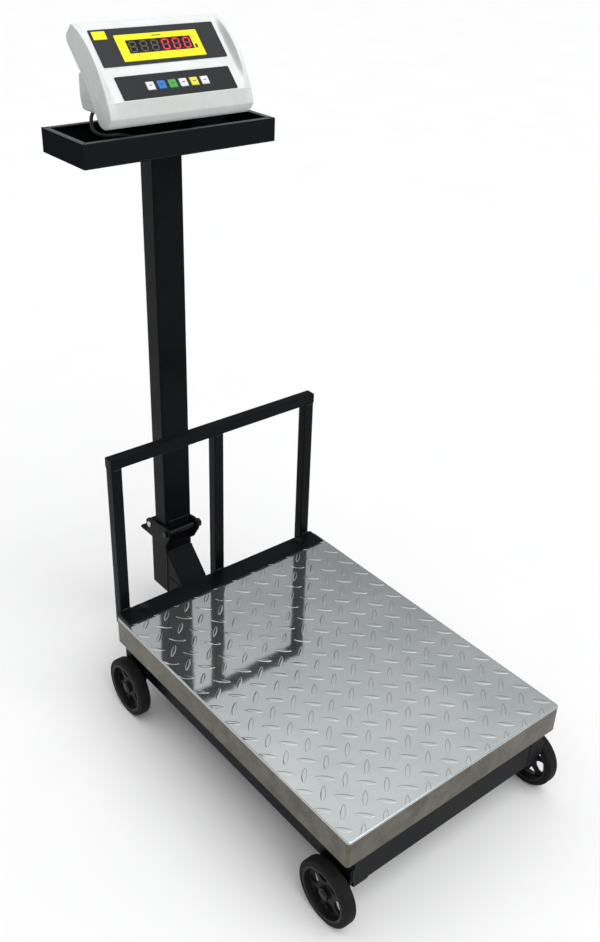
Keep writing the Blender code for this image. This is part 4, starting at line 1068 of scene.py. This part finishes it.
def front_section(x):
    """Section of the front shell at x as (u, n), from the seam over the top to the seam below."""
    radius = 0.0035
    points = [(0.0, SEAM), (0.0, 0.016), (0.0, 0.0060)]
    points += arc((radius, radius), radius, 180, 270, 6)[1:]
    points += [(0.0045 + 0.0075 * i, 0.0) for i in range(18)]
    points += [(0.1355, 0.0), (0.1374, -0.00035), (0.1384, -0.00035), (NOSE_U, 0.0001)]
    points += [(u, face_n(u)) for u in (0.1398, 0.143, 0.148, 0.153, 0.1565, 0.1578)]
    blended = []
    for u, n in points:
        easing = smooth((u - 0.112) / 0.028)
        foot = 0.1190 - 0.0095 * easing
        crest = 0.1250 - 0.0030 * easing
        share = smooth((abs(x) - foot) / (crest - foot))
        rise = cheek_n(u) - face_n(u) if n < 0.002 or u > NOSE_U else 0.0
        blended.append((u, n + share * rise))
    return blended + [(0.15842, 0.0123), (0.1588, 0.0137), (0.1597, 0.0200), (NOSE_FOOT_U, SEAM)]


def rounded_end(half, edge):
    """(x, inset) pairs that round over the end of a solid along X."""
    rows = []
    for degrees in range(0, 91, 18):
        angle = math.radians(degrees)
        rows.append((half - edge + edge * math.sin(angle), edge * (1 - math.cos(angle))))
    return rows


def both_ends(rows):
    """The mirror image of some rows, and the rows."""
    return [(-x, away) for x, away in reversed(rows)] + rows


def make_front_shell():
    """Flat face panel and faceted nose between two bowed cheeks."""
    stations = [0.060, 0.100] + [0.1085 + 0.0013 * i for i in range(14)]
    end = [(x, 0.0) for x in stations] + rounded_end(HALF, 0.0014)
    rows = both_ends(end)
    rows.insert(len(end), (0.0, 0.0))
    loops = []
    for x, away in rows:
        section = front_section(x)
        if away:
            closed = inset(section + [(0.08, SEAM + 0.02)], away)[:-1]
            section = [(u, min(SEAM, n)) for u, n in closed]
            section[0] = (section[0][0], SEAM)
            section[-1] = (section[-1][0], SEAM)
        loops.append([in_slab(x, u, n) for u, n in section])
    bm = bmesh.new()
    verts = [[bm.verts.new(point) for point in loop] for loop in loops]
    for first, second in zip(verts, verts[1:]):
        for i in range(len(first) - 1):
            bm.faces.new((first[i], first[i + 1], second[i + 1], second[i]))
    for row in (verts[0], verts[-1]):
        bm.faces.new(row)
    show("indicator_face", bm, [WHITE], "column", ["indicator_front_shell"], angle=28)

    bm = bmesh.new()
    top, foot, low, high = 0.0008, 0.1592, SEAM - 0.004, SEAM + 0.0014
    outline = [(top, low), (foot, low), (foot, high), (top, high)]
    add_block(bm, outline, -HALF + 0.0008, HALF - 0.0008, lambda a, b, t: in_slab(t, a, b), 0.0003)
    show("indicator_seam", bm, [BLACK], "column")


def rounded_polygon(points, radius):
    """A polygon with its corners rounded."""
    steps = 4
    outline = []
    count = len(points)
    for i in range(count):
        before, here, after = Vector(points[i - 1]), Vector(points[i]), Vector(points[(i + 1) % count])
        one, two = (before - here), (after - here)
        reach = min(radius, one.length * 0.45, two.length * 0.45)
        start, end = here + one.normalized() * reach, here + two.normalized() * reach
        for k in range(steps + 1):
            t = k / steps
            outline.append(tuple((1 - t) ** 2 * start + 2 * t * (1 - t) * here + t * t * end))
    return outline


def make_rear_shell():
    """Rear half of the housing with the battery box, its screws and a blank label."""
    seam = SEAM + 0.0004
    lips = [(0.0, seam), (NOSE_FOOT_U, seam)]
    slab = lips + rounded_polygon(lips + list(BACK), 0.0030)[10:]
    loops = []
    for x, away in both_ends(rounded_end(HALF, 0.0022)):
        loop = []
        for (a, b), (u, n) in zip(inset(slab, away), slab):
            loop.append(in_slab(x, a, max(seam, b) if n > seam else seam))
        loops.append(loop)
    bm = bmesh.new()
    add_loops(bm, loops)

    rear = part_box("indicator_rear_shell")[1].y
    low_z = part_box("indicator_stand")[1].z + 0.0003
    top_z = low_z + 0.0548
    box_half, box_edge, box_corner = 0.1145, 0.0036, 0.0062
    hidden = in_slab(0, 0.138, SEAM - 0.004)
    box = [(rear - 0.070, low_z), (rear - 0.006, low_z), (rear, low_z + 0.018), (rear, top_z),
           (rear - 0.046, top_z), (hidden.y, hidden.z)]
    outline = rounded_polygon(box, box_corner)
    ends = both_ends(rounded_end(box_half, box_edge))
    add_loops(bm, [[ON_X(a, b, x) for a, b in inset(outline, away)] for x, away in ends])
    show("indicator_back", bm, [WHITE], "column", ["indicator_rear_shell"], angle=40)

    cap = [(0.0042, -0.0006), (0.0042, 0.0004), (0.0036, 0.0007), (0.0030, 0.0007), (0.0026, 0.0002),
           (0.0006, 0.0002)]
    screw = [(0.0025, 0.0), (0.0025, 0.0009), (0.0018, 0.0012)]
    caps, screws = bmesh.new(), bmesh.new()
    for x in (-SCREW_X, SCREW_X):
        for u in SCREW_U:
            centre = in_slab(x, u, SCREW_N)
            axis = in_slab(x, u, 1.0) - centre
            add_turned(caps, cap, centre, axis, 28)
            add_turned(screws, screw, centre, axis, 24)
    show("indicator_screw_caps", caps, [WHITE], "column", angle=40)
    show("indicator_screws", screws, [ZINC], "column", angle=40)

    bm = bmesh.new()
    label = panel((0.012, low_z + 0.036), 0.024, 0.012, 0.0015)
    add_block(bm, label, rear, rear + 0.0003, ON_Y, 0.0001)
    show("indicator_label", bm, [LABEL], "column")


def segment_bars(centre_x, centre_u, half_w, half_h, thick):
    """Outlines of the seven bars of a digit, keyed a to g, in (x, u)."""
    slant = 0.10

    def bar(x0, u0, x1, u1):
        along = Vector((x1 - x0, u1 - u0)).normalized()
        cross = Vector((-along.y, along.x)) * thick / 2
        start, end = Vector((x0, u0)), Vector((x1, u1))
        tip = along * thick / 2
        points = [start, start + tip + cross, end - tip + cross, end, end - tip - cross,
                  start + tip - cross]
        return [(centre_x + p.x - slant * p.y, centre_u + p.y) for p in points]

    gap = thick * 0.10
    w, h = half_w - thick / 2, half_h - thick / 2
    return {
        "a": bar(-w + gap, -h, w - gap, -h),
        "b": bar(w, -h + gap, w, -gap),
        "c": bar(w, gap, w, h - gap),
        "d": bar(-w + gap, h, w - gap, h),
        "e": bar(-w, gap, -w, h - gap),
        "f": bar(-w, -h + gap, -w, -gap),
        "g": bar(-w + gap, 0, w - gap, 0),
    }


def anticlockwise(outline):
    area = 0.0
    for (a, b), (c, d) in zip(outline, outline[1:] + outline[:1]):
        area += a * d - b * c
    return outline if area > 0 else outline[::-1]


def make_display():
    """Overlay with its yellow field, smoked window and six digits."""
    half_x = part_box("display_overlay")[1].x
    top, bottom = OVERLAY_U
    back, front = OVERLAY_N
    left, right, window_top, window_bottom = -0.0574, 0.0588, 0.0377, 0.0609
    middle_x, middle_u = (left + right) / 2, (window_top + window_bottom) / 2
    digit_half_w, digit_half_h, bar_width = 0.0067, 0.0098, 0.0027
    half_w, half_h = (right - left) / 2, (window_bottom - window_top) / 2
    pitch = 0.0194
    overlay = panel((0.0, (top + bottom) / 2), half_x, (bottom - top) / 2, 0.0020)
    window = panel((middle_x, middle_u), half_w, half_h, 0.0008)
    bm = bmesh.new()
    add_plate(bm, [overlay, window], front, back, in_slab, 0.0002)
    field = panel((0.0008, top + 0.0348), 0.0738, 0.0230, 0.0014)
    tag = panel((-half_x + 0.0158, top + 0.0103), 0.0114, 0.0070, 0.0010)
    for outlines in ([field, window], [tag]):
        add_plate(bm, outlines, front - 0.00012, front + 0.0001, in_slab, 0.00003, 1)
    marks = [panel((0.0, top + 0.0165), 0.0085, 0.0007, 0.0005)]
    for i in range(6):
        x, base, tip = middle_x + (i - 2.5) * pitch + 0.004, window_bottom + 0.0042, 0.0024
        outline = [(x - 0.0011, base), (x + 0.0011, base), (x, window_bottom + tip)]
        marks.append(anticlockwise(outline))
    for u in (window_top + 0.0025, window_top + 0.0095):
        marks.append(panel((right + 0.0042, u), 0.0008, 0.0008, 0.0004))
    marks.append(panel((right + 0.0046, window_bottom - 0.0042), 0.0021, 0.0036, 0.0004))
    for mark in marks:
        add_plate(bm, [mark], front - 0.0002, front, in_slab, 0.00003, 2)
    show("display_panel", bm, [FILM_UPPER, YELLOW, BLACK_PRINT], "column", ["display_overlay"],
         angle=40)

    bm = bmesh.new()
    glass = panel((middle_x, middle_u), half_w + 0.001, half_h + 0.001, 0.0010)
    add_block(bm, glass, -0.0007, 0.0060, in_slab, 0.0001)
    show("display_glass", bm, [WINDOW], "column", ["led_display"])

    lit, unlit = bmesh.new(), bmesh.new()
    for i in range(6):
        x = middle_x + (i - 2.5) * pitch
        digit = [(unlit, circle((x + 0.0085, middle_u + 0.0088), 0.0010, 14))]
        for key, outline in segment_bars(x, middle_u, digit_half_w, digit_half_h, bar_width).items():
            digit.append((lit if i > 2 and key != "g" else unlit, anticlockwise(outline)))
        for target, outline in digit:
            add_block(target, outline, -0.00095, -0.0006, in_slab, 0.00005)
    show("display_digits_lit", lit, [LIT], "column")
    show("display_digits_unlit", unlit, [UNLIT], "column")
    carry("main_board", BOARD, 0.0)


def make_keypad():
    """Keypad overlay with its six keys; each key carries a small plain mark."""
    top, bottom, key_u = 0.097, 0.137, 0.117
    back, front = OVERLAY_N
    half_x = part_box("keypad_overlay")[1].x
    outline = panel((0.0, (top + bottom) / 2), half_x, (bottom - top) / 2, 0.0020)
    centres = [middle_of("key_" + str(i)).x for i in range(1, 7)]
    holes = [panel((x, key_u), 0.0075, 0.0075, 0.0012) for x in centres]
    bm = bmesh.new()
    add_plate(bm, [outline] + holes, front, back, in_slab, 0.0002)
    show("keypad_panel", bm, [FILM_LOWER], "column", ["keypad_overlay"], angle=40)
    names = ("white", "blue", "green", "white", "yellow", "white")
    halves = {"white": 0.0070, "blue": 0.0073, "green": 0.0073, "yellow": 0.0070}
    levels = ((0.0, 0.0040), (0.0, -0.0008), (0.0004, -0.0015), (0.0010, -0.0019),
              (0.0022, -0.0020), (0.0046, -0.0017))
    for i, (x, name) in enumerate(zip(centres, names), start=1):
        bm = bmesh.new()
        loops = []
        for distance, n in levels:
            half = halves[name] - distance
            shape = panel((x, key_u), half, half, max(0.0006, 0.0018 - distance))
            loops.append([in_slab(a, b, n) for a, b in shape])
        add_loops(bm, loops)
        mark = panel((x, key_u - 0.0004), 0.0026, 0.0005, 0.0003)
        add_plate(bm, [mark], -0.0021, -0.0015, in_slab, 0.00003, 1)
        key = "key_" + str(i)
        show("key_cap_" + str(i), bm, [KEYS[name], BLACK_PRINT], key, [key], angle=40)


def make_switch_and_gland():
    low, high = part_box("power_switch")
    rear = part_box("indicator_rear_shell")[1].y
    middle = (low + high) / 2
    bm = bmesh.new()
    outer = panel((middle.x, middle.z), 0.0118, 0.0092, 0.0014)
    opening = panel((middle.x, middle.z), 0.0094, 0.0068, 0.0006)
    add_plate(bm, [outer, opening], rear - 0.0004, rear + 0.0016, ON_Y, 0.0003)
    show("switch_bezel", bm, [BLACK], "column")
    carry("power_switch", BLACK, 0.0004)

    low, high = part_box("cable_gland")
    centre = Vector(((low.x + high.x) / 2, rear, (low.z + high.z) / 2))
    bm = bmesh.new()
    add_hex(bm, centre, (0, 1, 0), 0.0165, 0.0004, 0.0050)
    dome = [(0.0031, -0.006), (0.0056, -0.006), (0.0056, 0.004), (0.0070, 0.0046), (0.0066, 0.0070),
            (0.0050, 0.0092), (0.0038, 0.0100), (0.0031, 0.0100)]
    add_turned(bm, dome, centre, (0, 1, 0), 36, closed=True)
    show("cable_gland_moulded", bm, [BLACK], "column", ["cable_gland"], angle=40)


def make_cables():
    """The two cables, smoothed and brought back to their full thickness."""
    for node in ("cable_in_base", "cable_in_column"):
        piece = carry(node, JACKET, 0.0)
        piece.modifiers.remove(piece.modifiers["Flat"])
        finer = piece.modifiers.new("Finer", "SUBSURF")
        finer.levels = 2
        finer.render_levels = 2
        fuller = piece.modifiers.new("Fuller", "DISPLACE")
        fuller.strength = 0.00025
        fuller.mid_level = 0.0


# ---------------------------------------------------------------- studio


def make_floor():
    """A pale floor with a faint texture."""
    made = Finish("studio_floor", (0.92, 0.92, 0.92), 0.75, 0.0, Specular_IOR_Level=0.2)
    made.colour(made.between(made.noise(3.0), (0.915, 0.918, 0.920), (0.935, 0.935, 0.932)))
    bm = bmesh.new()
    for x, y in ((-1, -1), (1, -1), (1, 1), (-1, 1)):
        bm.verts.new((x * FLOOR_HALF, y * FLOOR_HALF, 0.0))
    bm.faces.new(bm.verts)
    mesh = bpy.data.meshes.new("studio_floor")
    bm.to_mesh(mesh)
    bm.free()
    mesh.materials.append(made.material)
    add_object("studio_floor", mesh)


def make_world():
    """Soft surroundings: dim near the horizon, bright overhead."""
    world = bpy.data.worlds.new("studio")
    bpy.context.scene.world = world
    world.use_nodes = True
    tree = world.node_tree
    place = tree.nodes.new("ShaderNodeTexCoord").outputs["Generated"]
    split = tree.nodes.new("ShaderNodeSeparateXYZ")
    tree.links.new(place, split.inputs["Vector"])
    ramp = tree.nodes.new("ShaderNodeValToRGB")
    tree.links.new(split.outputs["Z"], ramp.inputs["Fac"])
    stops = ((0.0, 0.40), (0.45, 0.36), (0.58, 0.42), (0.66, 0.70), (0.74, 1.0), (1.0, 1.2))
    elements = ramp.color_ramp.elements
    while len(elements) < len(stops):
        elements.new(0.5)
    for element, (position, level) in zip(elements, stops):
        element.position = position
        element.color = (level, level, level * 1.01, 1.0)
    background = tree.nodes["Background"]
    tree.links.new(ramp.outputs["Color"], background.inputs["Color"])
    background.inputs["Strength"].default_value = WORLD_STRENGTH


def make_soft_sun():
    """Even light from a wide overhead source, slightly in front and to the right."""
    lamp = bpy.data.lights.new("overhead", "SUN")
    lamp.energy = SUN_STRENGTH
    lamp.angle = math.radians(SUN_WIDTH)
    holder = add_object("overhead", lamp)
    holder.location = SUN_PLACE
    holder.rotation_euler = Vector(SUN_WAY).to_track_quat("-Z", "Y").to_euler()


def make_camera():
    lens_data = bpy.data.cameras.new("camera")
    lens_data.sensor_fit = "VERTICAL"
    lens_data.angle = math.radians(CAMERA_VIEW)
    holder = add_object("camera", lens_data)
    holder.location = CAMERA_PLACE
    holder.rotation_euler = Euler([math.radians(a) for a in CAMERA_TURN])
    bpy.context.scene.camera = holder


make_deck()
make_deck_frame()
make_base()
make_axles()
make_wheels()
make_guard()
make_column()
make_tray()
make_front_shell()
make_rear_shell()
make_display()
make_keypad()
make_switch_and_gland()
make_cables()
make_floor()
make_world()
make_soft_sun()
make_camera()
bpy.context.scene.view_settings.view_transform = "Standard"
